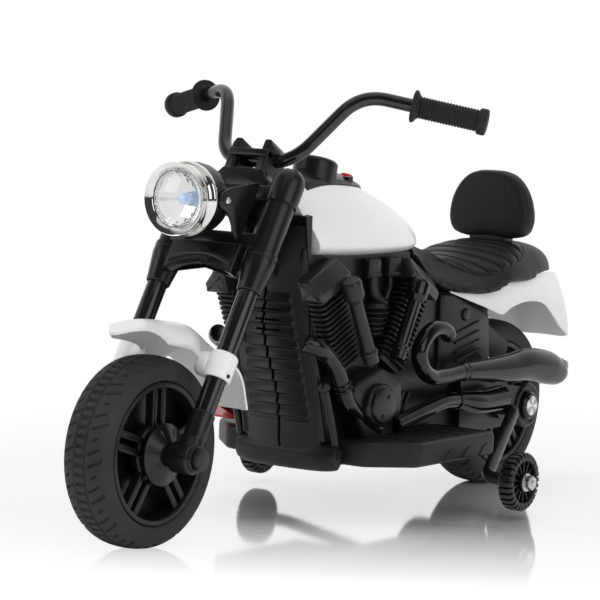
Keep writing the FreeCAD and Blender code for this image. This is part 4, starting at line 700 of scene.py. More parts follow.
zinc = zinc_steel()
screw_radius, screw_dome, screw_slot = 4.0, 2.4, 0.5
screw_seat = screw_centre + np.array([bracket_out + 0.1, 0.0, 0.0])
bracket_screw = screw_head(screw_seat, screw_radius, screw_dome, screw_slot)
piece("headlight_screw_heads", both([bracket_screw]), zinc, "steering", ["headlight_screws"])

# Front fender: a glossy white moulding over the tyre. It starts as a beak ahead of the wheel, drops to a lobe
# with a sleeve on each fork tube, and ends behind the tyre as a flat flap. A small screw pins each sleeve.
fender_half, fender_crown, fender_wall = 41.0, 139.0, 3.0
crown_rise, crown_rise_deg = 4.0, 50.0
sleeve_low, sleeve_high, sleeve_bore = 90.0, 120.0, 11.2
fender_rear_deg, fender_tip_deg, fender_sweep_deg = 16.0, 112.5, 21.0
fender_drop = through([(16.0, 2.0), (34.0, 3.0), (43.0, 9.0), (50.0, 30.0), (56.0, 43.0), (61.0, 41.0),
                       (66.0, 32.0), (72.0, 26.0), (80.0, 23.0), (88.0, 21.5), (94.0, 19.0), (99.0, 13.5),
                       (104.0, 7.0), (110.0, 2.5), (113.0, 1.0)], 200)


def white_plastic():
    """Glossy white moulding: clean, with a faint warm drift and slight flow waves under the gloss."""
    material, flow, shader, place = finish("white_shell", Specular_IOR_Level=0.4, Coat_Weight=0.2,
                                           Coat_Roughness=0.08)
    drift = noise(flow, place, 6.0)
    waves = noise(flow, place, 26.0, 1.0)
    colour = drift.clamped(0.3, 0.75).mix((0.77, 0.755, 0.75, 1.0), (0.72, 0.705, 0.70, 1.0))
    feed(flow, shader, colour, 0.24 + 0.10 * drift, waves, 0.0004, 0.12)
    return material


def capped(outer, inner):
    """A closed sheet with end walls: rows loop round the sheet, and the first and last rows are filled."""
    loop = np.concatenate([outer, inner[:, ::-1]], 1)
    ends = [((loop[i] + loop[i][::-1]) / 2)[None] for i in (0, -1)]
    return shell(np.concatenate([ends[0], loop, ends[1]]))


def fender_sheet(wall):
    """Rows along the arch: the angle runs from the flap to the beak, swept back to each side, and the
    radius falls from the crown to each edge with the cube of the share across."""
    share = np.sin(np.linspace(-np.pi / 2, np.pi / 2, 49))[None, :]
    run = np.linspace(0.0, 1.0, 97)[:, None]
    tip = fender_tip_deg - fender_sweep_deg * (np.sqrt(share**2 + 0.02) - 0.14)
    angle = fender_rear_deg + (tip - fender_rear_deg) * run
    drop = np.interp(angle, fender_drop[:, 0], fender_drop[:, 1])
    crown = fender_crown + crown_rise * band(angle - crown_rise_deg, 14.0, 18.0)
    radius = crown - wall - drop * np.abs(share) ** 3
    across = (fender_half - wall * eased(drop, 4.0, 12.0)) * share
    turn = np.radians(angle)
    arch = np.stack(np.broadcast_arrays(across, radius * np.cos(turn), radius * np.sin(turn)), -1)
    return arch + front_axle


white = white_plastic()
sleeve = rounded([(sleeve_bore, sleeve_low), (15.2, sleeve_low), (15.6, sleeve_high - 3.0),
                  (13.4, sleeve_high), (sleeve_bore, sleeve_high)], 1.2, 4)
lobe_path = [raked(x, -1.0, height) for x, height in ((34.0, 107.0), (42.0, 106.0), (50.0, 105.0))]
lobe = drawn(lobe_path, (10.0, 12.5, 14.0), (13.0, 14.0, 14.5))
fender_arch = capped(fender_sheet(0.0), fender_sheet(fender_wall))
piece("front_fender_moulded", [fender_arch, *both([on_leg(sleeve, True), lobe])], white,
      "steering", ["front_fender"], 45.0)
pin_profile = rounded([(0.0, -1.0), (2.2, -1.0), (2.2, 0.9), (0.0, 1.1)], 0.4, 3, False)
sleeve_screw = turned(pin_profile, raked(leg_x + 15.3, -2.0, sleeve_low + 5.0), (1.0, 0.0, 0.0), 24)
piece("fender_screws", both([sleeve_screw]), lamp_black, "steering")

# Body: two black moulded halves joined along the middle. The front is a louvred panel split by a wavy seam,
# framed by rounded rails, over a thick belly bar. Behind the engine each flank carries a ribbed cover.
body_black = black_plastic("body_black", 0.0075, 0.42, gloss=0.28)
front_line = through([(-99.0, 80.0), (-116.0, 150.0), (-133.0, 228.0), (-141.0, 280.0), (-150.0, 338.0)], 80)
panel_half, panel_bow = 50.0, 9.0
louvre_pitch, louvre_depth = 13.0, 4.2
louvre_low, louvre_high = 112.0, 262.0
seam_wave, seam_gap = 5.0, 0.8
panel_low, panel_high, panel_wall = 84.0, 336.0, 7.0


def seam_x(z):
    """The middle seam swings from side to side as it goes down."""
    return seam_wave * np.sin((z - 96.0) / 26.0) * eased(z, panel_low, 110.0) * (1 - eased(z, 235.0, 265.0))


def panel_y(x, z):
    """How far forward the bowed front stands at a place across and a height."""
    return np.interp(z, front_line[:, 1], front_line[:, 0]) - panel_bow * (1 - (x / panel_half) ** 2)


def front_panel(side):
    """Grid of height and share across: bowed forward in the middle, with louvres that step back under
    each lip and fade out towards the smooth cheek."""
    z = np.linspace(panel_low, panel_high, 330)[:, None]
    share = np.linspace(0.0, 1.0, 40)[None, :]
    start = seam_x(z) + side * seam_gap
    x = start + (side * panel_half - start) * share
    phase = ((louvre_high - z) / louvre_pitch) % 1.0
    lip = np.minimum(phase / 0.78, (1.0 - phase) / 0.22) ** 1.4
    reach = np.interp(z, [louvre_low, louvre_high], [41.0, 29.0])
    fade = band(x, reach, 3.0) * eased(z, louvre_low, louvre_low + 3.0)
    fade = fade * (1 - eased(z, louvre_high - 3.0, louvre_high))
    y = panel_y(x, z) - 1.0 - louvre_depth * lip * fade + 2.0 * band(share, 0.004, 0.02)
    front = np.stack(np.broadcast_arrays(x, y, z), -1)
    return capped(front, front + np.array([0.0, panel_wall, 0.0]))


piece("body_front_panels", [front_panel(1), front_panel(-1)], body_black, "chassis")
# Perforations: near-black matt plugs set into the louvres, painted shade standing in for the dark inside of
# each hole.
hole_rows, hole_radius = (241.0, 229.5, 218.0), 1.15
hole_pitch, hole_sink = 4.6, 4.6
hole_shade_plug = [(0.0, 0.5), (hole_radius, 0.5), (hole_radius, -1.5), (0.0, -1.5)]
holes = []
for row, hole_z in enumerate(hole_rows):
    for hole_x in np.arange(-13.0, 22.0 - 3.0 * row, hole_pitch):
        hole_place = (hole_x, panel_y(hole_x, hole_z) - hole_sink, hole_z)
        holes.append(turned(hole_shade_plug, hole_place, (0.0, -1.0, -0.35), 14))
piece("perforation_painted_shade", holes, black_plastic("hole_painted_shade", 0.0012, 0.9, gloss=0.0), "chassis")
rail_path = through([(44.0, -134.0, 346.0), (46.0, -142.0, 318.0), (48.0, -143.0, 292.0),
                     (50.5, -137.0, 272.0), (52.0, -131.0, 250.0), (52.0, -124.0, 200.0),
                     (52.0, -113.0, 150.0), (52.0, -101.0, 96.0)], 90)
piece("body_rails", both([drawn(rail_path, 5.0, 4.2)]), body_black, "chassis")
bar_share = np.linspace(-1.0, 1.0, 41)
belly_half, belly_y, belly_z, belly_bow = 66.0, -96.0, 77.0, 5.0
belly_path = np.stack([belly_half * bar_share, belly_y + belly_bow * bar_share**2,
                       belly_z + 0.0 * bar_share], -1)
belly_swell = 1.0 - 0.18 * np.abs(bar_share) ** 6
piece("belly_bar", [drawn(belly_path, 13.0 * belly_swell, 18.0 * belly_swell, 36)], body_black, "chassis")
bolt_profile = rounded([(0.0, -6.0), (9.5, -6.0), (9.5, 1.0), (6.2, 1.6), (6.2, 4.6), (0.0, 5.0)], 0.8, 4,
                       False)
belly_bolt = turned(bolt_profile, (66.5, -91.0, 80.0), (1.0, 0.0, 0.0), 40)
strut_top, strut_low = np.array([64.0, -120.0, 158.0]), np.array([65.0, -95.0, 92.0])
ball_radius, rod_radius = 7.0, 4.6


def ball(radius, steps):
    """The profile of a ball, from its lower pole to its upper one."""
    return [(radius * math.sin(a), -radius * math.cos(a)) for a in np.linspace(0.0, np.pi, steps)]


strut_ball = turned(ball(ball_radius, 17), strut_top, (0, 0, 1), 32)
strut_rod = drawn(np.linspace(strut_top, strut_low, 6), rod_radius, rod_radius, 24)
piece("belly_struts", both([belly_bolt, strut_ball, strut_rod]), fork_black, "chassis")
cover_plan = rounded([(126.0, 150.0), (126.0, 249.0), (150.0, 249.5), (236.0, 221.0), (242.0, 150.0)], 6.0, 6)
cover_in, cover_out, cover_edge = 50.0, 58.0, 4.5
rib_ends = np.array([(cover_out + 0.2, 156.0, 200.0), (cover_out + 0.2, 208.0, 212.0)])
rib_step = np.array([0.0, 2.0, -11.0])
cover_ribs = [drawn(rib_ends + i * rib_step, 1.6, 2.6, 14) for i in range(4)]
piece("rear_side_covers", both([slab(cover_plan, cover_in, cover_out, cover_edge, upright_plate),
                                *cover_ribs]), body_black, "chassis")
frame_bolt = turned(rounded([(0.0, -4.0), (7.5, -4.0), (7.5, 2.2), (5.0, 3.4), (0.0, 3.6)], 1.0, 4, False),
                    (cover_out, 180.0, 222.0), (1.0, 0.0, 0.0), 40)
piece("frame_bolt_heads", both([frame_bolt]), fork_black, "chassis", ["body_bolts"])

# Tank: a glossy white shell shaped like a drop, trimmed behind the fork and rolled under at its lower edge.
# A black cover with a round pod follows its back and carries the red button and the rocker switch.
tank_front, tank_rear, tank_foot = -138.0, 128.0, 299.0
tank_back = through([(-138.0, 386.0), (-105.0, 391.0), (-64.0, 392.0), (-16.0, 385.0), (32.0, 369.0),
                     (80.0, 352.0), (108.0, 339.0), (122.0, 328.0), (128.0, 316.0)], 200)
tank_wide = through([(-138.0, 52.0), (-124.0, 58.0), (-108.0, 65.0), (-90.0, 71.0), (-64.0, 77.0),
                     (-16.0, 80.0), (32.0, 74.0), (45.0, 70.0), (62.0, 59.0), (80.0, 47.5), (100.0, 35.0),
                     (116.0, 23.0), (124.0, 14.0), (128.0, 8.0)], 200)
tank_roll, side_power, back_power = 15.0, 1.6, 1.36
tank_belt = tank_foot + tank_roll
neck_rise, neck_from, neck_to = 48.0, -139.0, -121.0


def line_at(curve, y):
    """The value of a side line of (place along the bike, size) at a place along the bike."""
    return np.interp(y, curve[:, 0], curve[:, 1])


def tank_top(x, y):
    """Height of the back of the tank over a point of the plan."""
    inward = np.clip(np.abs(x) / line_at(tank_wide, y), 0.0, 1.0) ** (1 / side_power)
    rise = np.sqrt(np.maximum(1.0 - inward**2, 0.0)) ** back_power
    return tank_belt + (line_at(tank_back, y) - tank_belt) * rise


def tank_shell():
    """Rows along the tank: sloping shoulders from the belt up to the ridge, a short full roll below the belt,
    and the front corner trimmed level where the neck clears the body."""
    y = tank_rear - (tank_rear - tank_front) * (0.5 + 0.5 * np.cos(np.linspace(0.0, np.pi, 150)))[::-1, None]
    turn = np.linspace(0.0, 2 * np.pi, 160, endpoint=False)[None, :]
    upper = np.sin(turn) > 0
    wide, tall = line_at(tank_wide, y), line_at(tank_back, y) - tank_belt
    x = wide * np.abs(np.cos(turn)) ** np.where(upper, side_power, 0.64)
    reach = np.where(upper, tall, np.minimum(tank_roll, tall))
    z = tank_belt + reach * np.sign(np.sin(turn)) * np.abs(np.sin(turn)) ** np.where(upper, back_power, 0.9)
    trim = tank_foot + neck_rise * (1 - eased(y, neck_from, neck_to))
    share = np.clip((trim - tank_belt) / tall, 0.0, 1.0) ** (2 / back_power)
    trim_half = wide * np.sqrt(1.0 - share) ** side_power
    x = np.sign(np.cos(turn)) * np.where(z < trim, np.minimum(x, trim_half), x)
    rows = np.stack(np.broadcast_arrays(x, y, np.maximum(z, trim)), -1)
    ends = [np.broadcast_to(rows[i].mean(0), rows[:1].shape) for i in (0, -1)]
    return shell(np.concatenate([ends[0], rows, ends[1]]))


piece("tank_moulded", [tank_shell()], white, "chassis", ["tank"], 60.0)
dash_black = black_plastic("dash_black", 0.0085, 0.38)
dash_front, dash_rear, dash_half, dash_rise = -112.0, 30.0, 25.5, 4.2
pod_radius, pod_rise, pod_root, pod_y, pod_lean = 25.0, 10.5, -22.0, -62.0, 0.27


def dash_grid():
    """Rows along the back of the tank; the half width tapers to a rounded point, and the edge has a step."""
    run = np.linspace(0.0, 1.0, 90)[:, None]
    share = np.linspace(-1.0, 1.0, 61)[None, :]
    y = dash_front + (dash_rear - dash_front) * run
    half = dash_half * np.sqrt(np.maximum(1.0 - eased(run, 0.25, 1.02) ** 2.2, 1e-4))
    x = half * share
    step = 0.45 + 0.55 * eased(1 - np.abs(share), 0.03, 0.16)
    rise = dash_rise * step * (1 - 0.4 * eased(run, 0.93, 1.0))
    top = tank_top(x, y) + rise
    upper = np.stack(np.broadcast_arrays(x, y, top), -1)
    return capped(upper, np.stack(np.broadcast_arrays(x, y, tank_top(x, y) - 1.5), -1))


pod_top = float(tank_top(0.0, pod_y)) + dash_rise
pod = rounded([(0.0, pod_root), (pod_radius, pod_root), (pod_radius, pod_rise - 3.0),
               (pod_radius - 4.0, pod_rise), (pod_radius - 7.0, pod_rise - 1.2), (0.0, pod_rise - 0.6)], 2.0,
              5, False)
piece("dash_cover", [dash_grid(), turned(pod, (0.0, pod_y, pod_top), (0.0, pod_lean, 1.0), 72)], dash_black,
      "chassis", ["dash"])


def red_plastic():
    """Glossy red moulding whose red deepens a little in soft random clouds, over a fine grain."""
    material, flow, shader, place = finish("red_control", Specular_IOR_Level=0.5, Coat_Weight=0.3)
    clouds = noise(flow, place, 50.0)
    grain = noise(flow, place, 900.0, 2.0)
    feed(flow, shader, clouds.clamped(0.3, 0.7).mix((0.55, 0.004, 0.008, 1.0), (0.40, 0.003, 0.006, 1.0)),
         0.22 + 0.12 * clouds, grain, 0.00006, 0.3)
    return material


red = red_plastic()
button_lean = math.radians(19.0)
button_axis = np.array([0.0, math.sin(button_lean), math.cos(button_lean)])
button_radius, button_deep = 8.0, -16.0
button_top = np.array([0.0, 1.63, 387.6])
button = rounded([(0.0, button_deep), (button_radius, button_deep), (button_radius, -1.4), (6.6, 0.2),
                  (3.0, -0.3), (0.0, -0.5)], 1.0, 4, False)
piece("power_button_cap", [turned(button, button_top, button_axis, 48)], red, "button",
      ["power_button"])

# Seat and backrest: black synthetic leather sewn over foam. The seat climbs to the tail of the tank, dips for
# the rider and has channels sewn across its top panel; the backrest is a rounded panel on a short foot.
def leather():
    """Black synthetic leather: pebbled grain with fine creases and a soft sheen on the crowns."""
    material, flow, shader, place = finish("seat_leather", Specular_IOR_Level=0.28)
    clouds = noise(flow, place, 18.0)
    pebble = flow.node("ShaderNodeTexVoronoi", {"feature": "DISTANCE_TO_EDGE"},
                       {"Vector": place, "Scale": 700.0}, "Distance")
    creases = noise(flow, place, 260.0, 5.0, 0.65)
    colour = clouds.clamped(0.3, 0.75).mix((0.0068, 0.0064, 0.0064, 1.0), (0.0115, 0.0108, 0.0106, 1.0))
    feed(flow, shader, colour, 0.40 + 0.16 * clouds, pebble * 0.6 + creases * 0.5, 0.0002, 0.35)
    return material


hide = leather()
seat_top = through([(60.0, 316.0), (104.0, 311.0), (132.0, 305.0), (156.0, 297.0), (180.0, 289.0),
                    (206.0, 285.0), (236.0, 289.0), (262.0, 296.0), (292.0, 301.0), (326.0, 303.0),
                    (360.0, 301.0), (392.0, 294.0), (412.0, 284.0), (424.0, 266.0)], 240)
seat_foot = through([(60.0, 303.0), (84.0, 284.0), (110.0, 263.0), (140.0, 252.5), (176.0, 248.0),
                     (210.0, 246.5), (232.0, 250.0), (252.0, 256.0), (290.0, 257.5), (318.0, 257.5),
                     (346.0, 263.5), (380.0, 265.0), (424.0, 262.0)], 240)
seat_wide = through([(60.0, 58.0), (92.0, 58.0), (124.0, 62.0), (156.0, 69.0), (196.0, 75.0), (236.0, 76.0),
                     (280.0, 74.0), (324.0, 67.0), (364.0, 57.0), (396.0, 45.0), (414.0, 33.0),
                     (424.0, 14.0)], 240)
seam_share = np.array([(120.0, 0.90), (160.0, 0.72), (200.0, 0.58), (240.0, 0.52), (270.0, 0.54),
                       (292.0, 0.62), (312.0, 0.76), (330.0, 0.90), (345.0, 1.02)])
channel_count, channel_first, channel_pitch, channel_lead = 7, 178.0, 22.0, 12.0
channel_half, channel_depth, strip_crown = 1.5, 2.6, 1.4
seam_half_share, seam_depth, seam_from, seam_to = 0.035, 1.6, 118.0, 350.0
seat_front, seat_rear, full_from, full_to = 60.0, 424.0, 140.0, 245.0


def seat_form():
    """Rows along the seat: an oval back that grows fuller towards the rider, flat underneath."""
    y = np.linspace(seat_front, seat_rear, 120)[:, None]
    turn = np.linspace(0.0, 2 * np.pi, 96, endpoint=False)[None, :]
    foot, top, wide = (line_at(curve, y) for curve in (seat_foot, seat_top, seat_wide))
    full = eased(y, full_from, full_to)
    x = wide * np.sign(np.cos(turn)) * np.abs(np.cos(turn)) ** (1.5 - 0.88 * full)
    upper = np.maximum(np.sin(turn), 0.0) ** (1.3 - 0.44 * full)
    z = foot + (top - foot) * upper + 3.0 * np.minimum(np.sin(turn), 0.0) ** 3
    rows = np.stack(np.broadcast_arrays(x, y, z), -1)
    ends = [np.broadcast_to(rows[i].mean(0), rows[:1].shape) for i in (0, -1)]
    return shell(np.concatenate([ends[0], rows, ends[1]]))


stuffing_frames, stuffing_pressure, stuffing_cap = 20, 3.0, 5.0


def corners_of(made):
    """Places and normals of a mesh's corners, in millimetres."""
    count = len(made.data.vertices)
    places, normals = np.empty(count * 3), np.empty(count * 3)
    made.data.vertices.foreach_get("co", places)
    made.data.vertex_normals.foreach_get("vector", normals)
    return places.reshape(-1, 3) / millimetre, normals.reshape(-1, 3)


def settle(made, places):
    """Moves a mesh's corners to new places, in millimetres."""
    made.data.vertices.foreach_set("co", (places * millimetre).ravel())
    made.data.update()


def apply_modifier(made, kind, **settings):
    """Adds a modifier with its settings and makes its result the mesh."""
    change = made.modifiers.new(kind.lower(), kind)
    for key, value in settings.items():
        setattr(change, key, value)
    bpy.context.view_layer.objects.active = made
    bpy.ops.object.modifier_apply(modifier=change.name)


def stuffed(made, held, voxel_mm):
    """Swells a pad: an even mesh, some frames of cloth under pressure with the held corners pinned, each
    corner moved by no more than the cap, then two subdivisions."""
    apply_modifier(made, "REMESH", mode="VOXEL", voxel_size=voxel_mm * millimetre)
    before = corners_of(made)[0]
    pins = made.vertex_groups.new(name="held")
    pins.add(np.flatnonzero(held(before)).tolist(), 1.0, "REPLACE")
    cloth = made.modifiers.new("stuffing", "CLOTH")
    cloth.settings.use_pressure = True
    cloth.settings.uniform_pressure_force = stuffing_pressure
    cloth.settings.effector_weights.gravity = 0.0
    cloth.settings.vertex_group_mass = pins.name
    cloth.point_cache.frame_start = 1
    cloth.point_cache.frame_end = stuffing_frames
    for number in range(1, stuffing_frames + 1):
        bpy.context.scene.frame_set(number)
    swollen = made.evaluated_get(bpy.context.evaluated_depsgraph_get()).to_mesh()
    after = np.empty(len(before) * 3)
    swollen.vertices.foreach_get("co", after)
    made.modifiers.remove(cloth)
    move = after.reshape(-1, 3) / millimetre - before
    length = np.maximum(np.linalg.norm(move, axis=1, keepdims=True), 1e-6)
    settle(made, before + move * np.minimum(1.0, stuffing_cap / length))
    bpy.context.scene.frame_set(1)
    apply_modifier(made, "SUBSURF", levels=2, render_levels=2)
    made.data.polygons.foreach_set("use_smooth", np.ones(len(made.data.polygons), bool))


def seat_stitches(made):
    """Sinks the channels and the long seam into the finished pad, and crowns the strips between them."""
    places, normals = corners_of(made)
    x, y, z = places.T
    height = (z - line_at(seat_foot, y)) / np.maximum(line_at(seat_top, y) - line_at(seat_foot, y), 1.0)
    edge = line_at(seam_share, y)
    upper = eased(height, edge - 0.02, edge + 0.03) * (normals[:, 2] > -0.2)
    step = (y + channel_lead * (1 - (x / line_at(seat_wide, y)) ** 2) - channel_first) / channel_pitch
    nearest = np.clip(np.round(step), 0, channel_count - 1)
    channel = np.exp(-(((step - nearest) * channel_pitch) / channel_half) ** 2)
    inside = (step > -0.5) & (step < channel_count - 0.5)
    crown = np.where(inside, np.abs(np.sin(np.pi * np.clip(step, -1.0, channel_count))), 0.0)
    sewn = (y > seam_from) * (y < seam_to) * (normals[:, 2] > -0.2)
    seam = np.exp(-((height - edge) / seam_half_share) ** 2) * sewn
    push = upper * (strip_crown * crown - channel_depth * channel * inside) - seam_depth * seam
    settle(made, places + normals * push[:, None])


seat_pad = piece("seat_padded", [seat_form()], hide, "chassis", ["seat"])
stuffed(seat_pad, lambda p: p[:, 2] < line_at(seat_foot, p[:, 1]) + 6.0, 5.0)
seat_stitches(seat_pad)

rest_front, rest_rear, rest_middle, rest_foot = 312.0, 340.0, 346.0, 307.0
rest_side = through([(0.0, rest_foot), (38.0, rest_foot), (50.0, 311.0), (56.0, 320.0), (57.5, 333.0),
                     (56.0, 346.0), (51.0, 360.0), (42.0, 374.0), (31.0, 383.5), (18.0, 388.0),
                     (0.0, 389.0)], 60)
rest_outline = np.concatenate([rest_side, rest_side[-2:0:-1] * np.array([-1.0, 1.0])])
rest_depths = [(0.0, 0.80), (0.4, 0.88), (2.0, 0.94), (5.5, 0.985), (11.0, 1.0), (20.0, 1.0), (25.0, 0.97),
               (28.0, 0.86)]


def rest_form():
    """Rows through the thickness: the outline drawn in towards both faces."""
    rows = []
    for depth, scale in rest_depths:
        rows.append(np.stack([rest_outline[:, 0] * scale, np.full(len(rest_outline), rest_front + depth),
                              rest_middle + (rest_outline[:, 1] - rest_middle) * scale], -1))
    ends = [np.broadcast_to([0.0, rest_front, rest_middle], rows[0].shape),
            np.broadcast_to([0.0, rest_rear, rest_middle], rows[0].shape)]
    return shell(np.stack([ends[0], *rows, ends[1]]))


rest_pad = piece("backrest_padded", [rest_form()], hide, "chassis", ["backrest"])
stuffed(rest_pad, lambda p: (p[:, 2] < rest_foot + 2.0) & (np.abs(p[:, 0]) < 18.0), 4.0)

# Rear fender: a glossy white moulding that hugs the seat, arched over the rear wheel on each side and open
# below, with a rounded tail.
tail_top = [(57.0, 146.0, 251.5), (62.0, 180.0, 248.5), (64.0, 212.0, 246.5), (65.0, 238.0, 251.0),
            (65.0, 252.0, 255.0), (64.0, 270.0, 256.5), (62.0, 300.0, 257.0), (59.0, 328.0, 259.5),
            (54.0, 358.0, 263.5), (48.0, 388.0, 264.0), (42.0, 411.0, 262.0), (35.0, 427.0, 260.0),
            (22.0, 436.0, 259.0), (0.0, 440.0, 258.5)]
tail_foot = [(57.0, 146.0, 249.5), (62.0, 180.0, 239.0), (64.0, 212.0, 230.0), (65.5, 238.0, 222.0),
             (66.0, 252.0, 218.5), (66.0, 270.0, 225.0), (66.0, 300.0, 231.0), (65.0, 328.0, 231.0),
             (62.0, 360.0, 225.0), (58.0, 388.0, 210.0), (51.0, 420.0, 193.0), (46.0, 449.0, 180.0),
             (32.0, 464.0, 177.0), (0.0, 468.0, 177.0)]
tail_wall, tail_bulge = 3.0, 5.0


def sheet(outer, wall):
    """A closed sheet: the grid and the same grid moved inwards by the wall along its own normals."""
    normal = np.cross(np.gradient(outer, axis=0), np.gradient(outer, axis=1))
    normal /= np.maximum(np.linalg.norm(normal, axis=-1, keepdims=True), 1e-9)
    return capped(outer, outer - wall * normal)


def tail_grid():
    """Rows round the tail from one front tip to the other, each bowed outwards between its top and foot."""
    edges = [through(line + [(-x, y, z) for x, y, z in line[-2::-1]], 181) for line in (tail_top, tail_foot)]
    share = np.linspace(0.0, 1.0, 25)[None, :, None]
    flat = edges[0][:, None] * (1 - share) + edges[1][:, None] * share
    rearward = eased(flat[..., 1:2], 400.0, 450.0) * 40.0
    outward = flat * np.array([1.0, 0.0, 0.0]) + np.array([0.0, 1.0, 0.0]) * rearward
    outward /= np.maximum(np.linalg.norm(outward, axis=-1, keepdims=True), 1e-9)
    height = (edges[0] - edges[1])[:, None, 2:3]
    return flat + outward * tail_bulge * 4 * share * (1 - share) * np.clip(height / 60.0, 0.0, 1.0)


piece("rear_fender_moulded", [sheet(tail_grid(), -tail_wall)], white, "chassis",
      ["rear_fender"], 50.0)

# Engine: a moulded black mock twin on each flank. Two finned barrels lean apart over a shield-shaped
# crankcase cover, each under a faceted rocker cover with a pushrod tube beside it; coil boxes and an intake
# fill the vee.
engine_black = black_plastic("engine_black", 0.0095, 0.44, gloss=0.32)
engine_gloss = black_plastic("engine_gloss", 0.0045, 0.18, 1400.0, 0.00004, 0.36)
flank_x, crank_z = 52.0, 148.0
fin_half, fin_out, core_half, core_out, barrel_root = 25.0, 22.0, 21.0, 15.0, -2.0
rocker_half, rocker_out, rocker_brow, rocker_rise = 31.0, 28.0, 11.0, 26.0
pushrod_out, pushrod_foot, pushrod_radius, cap_width = 36.0, 41.0, 7.6, 12.2
crank_in, crank_out = 50.0, 76.0
cap_centre = np.array([-30.0, 132.0])
fin_pitch, fin_thick, fin_first, fin_count = 6.2, 3.2, 35.0, 15
front_lean, front_base, rear_lean, rear_base = 24.0, -71.0, -30.0, -10.0
barrel_top = fin_first + fin_pitch * fin_count


def leaned(lean_deg, base_y):
    """Turns (along the bike, outward, up the barrel) into a point, for a barrel leaned from its foot."""
    sine, cosine = math.sin(math.radians(lean_deg)), math.cos(math.radians(lean_deg))

    def place(along, out, up):
        y = base_y + along * cosine - up * sine
        z = crank_z + along * sine + up * cosine
        return np.stack(np.broadcast_arrays(flank_x + out, y, z), -1)

    return place


def barrel(lean_deg, base_y):
    """A square core with a stack of round-edged fins."""
    place = leaned(lean_deg, base_y)
    fin = oblong((-fin_half, barrel_root), (fin_half, fin_out), 8.0, 6)
    core = oblong((-core_half, barrel_root), (core_half, core_out), 4.0, 4)
    fins = [slab(fin, z, z + fin_thick, 1.4, place) for z in fin_first + fin_pitch * np.arange(fin_count)]
    return [slab(core, fin_first - 6.0, barrel_top + 2.0, 1.0, place), *fins]


def rocker_cover(lean_deg, base_y):
    """A five-sided block with a wide top facet."""
    place = leaned(lean_deg, base_y)
    section = rounded([(barrel_root, barrel_top), (rocker_out, barrel_top),
                       (rocker_out, barrel_top + rocker_brow), (rocker_out / 2, barrel_top + rocker_rise),
                       (barrel_root, barrel_top + rocker_rise)], 1.8, 5)
    return slab(section, -rocker_half, rocker_half, 4.5, lambda out, up, along: place(along, out, up))


def pushrod(lean_deg, base_y, top):
    """A tube up the lean of its barrel, with a stepped foot and a long round cap."""
    place = leaned(lean_deg, base_y)
    foot = place(0.0, pushrod_out, 0.0)
    base = [(0.0, 0.0), (9.0, 0.0), (9.0, 10.0), (10.4, 11.0), (10.4, 15.0), (pushrod_radius, 17.0)]
    cap = [(pushrod_radius, -27.0), (9.0, -26.0), (cap_width, -20.0), (cap_width, -4.0), (10.6, -1.0),
           (9.6, 0.0), (0.0, 0.0)]
    profile = [(radius, pushrod_foot + up) for radius, up in base]
    profile += [(radius, top + up) for radius, up in cap]
    return turned(rounded(profile, 0.9, 4, False), foot, place(0.0, pushrod_out, 1.0) - foot, 48)


piece("barrels_finned", both(barrel(front_lean, front_base) + barrel(rear_lean, rear_base)), engine_black,
      "chassis", ["barrels"])
piece("rocker_covers_faceted", both([rocker_cover(front_lean, front_base),
                                     rocker_cover(rear_lean, rear_base)]),
      black_plastic("rocker_grey", 0.020, 0.42, gloss=0.4), "chassis", ["rocker_covers"])
pushrod_grey = black_plastic("pushrod_grey", 0.017, 0.46, gloss=0.35)
piece("front_pushrods", both([pushrod(27.8, -44.5, 147.0)]), pushrod_grey, "chassis",
      ["pushrod_tubes"])
piece("rear_pushrods", both([pushrod(-26.8, -30.7, 139.0)]), engine_gloss, "chassis")
shield = rounded([(-77.0, 157.0), (-22.0, 174.0), (21.0, 158.0), (22.0, 120.0), (0.0, 92.0), (-48.0, 92.0),
                  (-72.0, 124.0)], 9.0, 6)
oval_turn = np.linspace(0.0, 2 * np.pi, 72, endpoint=False)
cap_long, cap_high, cap_face, rim_share = 29.0, 25.0, 87.5, 0.82
oval = np.stack([cap_long * np.cos(oval_turn), cap_high * np.sin(oval_turn)], -1)
oval_cap = [slab(oval + cap_centre, 70.0, 84.0, 4.0, upright_plate),
            slab(rim_share * oval + cap_centre, 82.0, cap_face, 2.5, upright_plate)]
notch = rounded([(0.0, 0.0), (2.6, 0.0), (2.6, 1.0), (1.4, 1.4), (1.2, 0.2), (0.0, 0.2)], 0.3, 3, False)
for y, z in ((6.0, 10.0), (-5.0, -11.0)):
    oval_cap.append(turned(notch, (cap_face - 0.3, cap_centre[0] + y, cap_centre[1] + z), (1, 0, 0), 24))
knob = turned(ball(5.5, 15), (62.0, 12.0, 152.0), (1, 0, 0), 32)
piece("crankcases_domed", both([slab(shield, crank_in, crank_out, 4.0, upright_plate), knob]), engine_black,
      "chassis", ["crankcases"], 28.0)
piece("crankcase_caps", both(oval_cap), black_plastic("cap_black", 0.008, 0.34, gloss=0.28), "chassis")
coil = oblong((-38.5, 274.0), (-14.0, 296.5), 3.2, 5)
coil_lip = oblong((-37.5, 275.0), (-15.0, 280.0), 2.4, 5)
coil_out, coil_spacing = 64.0, 42.0
trim = []
for step in (0.0, coil_spacing):
    trim += [slab(coil + np.array([step, 0.0]), crank_in, coil_out, 2.6, upright_plate),
             slab(coil_lip + np.array([step, 0.0]), 56.0, coil_out + 2.0, 2.2, upright_plate)]
front_lead = [(58.0, -24.0, 276.0), (58.0, -22.0, 262.0), (57.0, -13.0, 251.0), (56.0, 3.0, 244.0)]
rear_lead = [(57.0, 14.0, 276.0), (57.0, 14.0, 264.0), (56.0, 10.0, 252.0), (55.0, 3.0, 240.0)]
trim += [drawn(through(front_lead, 24), 7.0), drawn(through(rear_lead, 24), 3.4)]
intake_low, intake_tall, intake_ribs = 208.0, 30.0, 5
rib_up = np.linspace(intake_low, intake_low + intake_tall, 97)
rib_swell = (0.5 - 0.5 * np.cos(2 * np.pi * (rib_up - intake_low) / intake_tall * intake_ribs)) ** 0.7
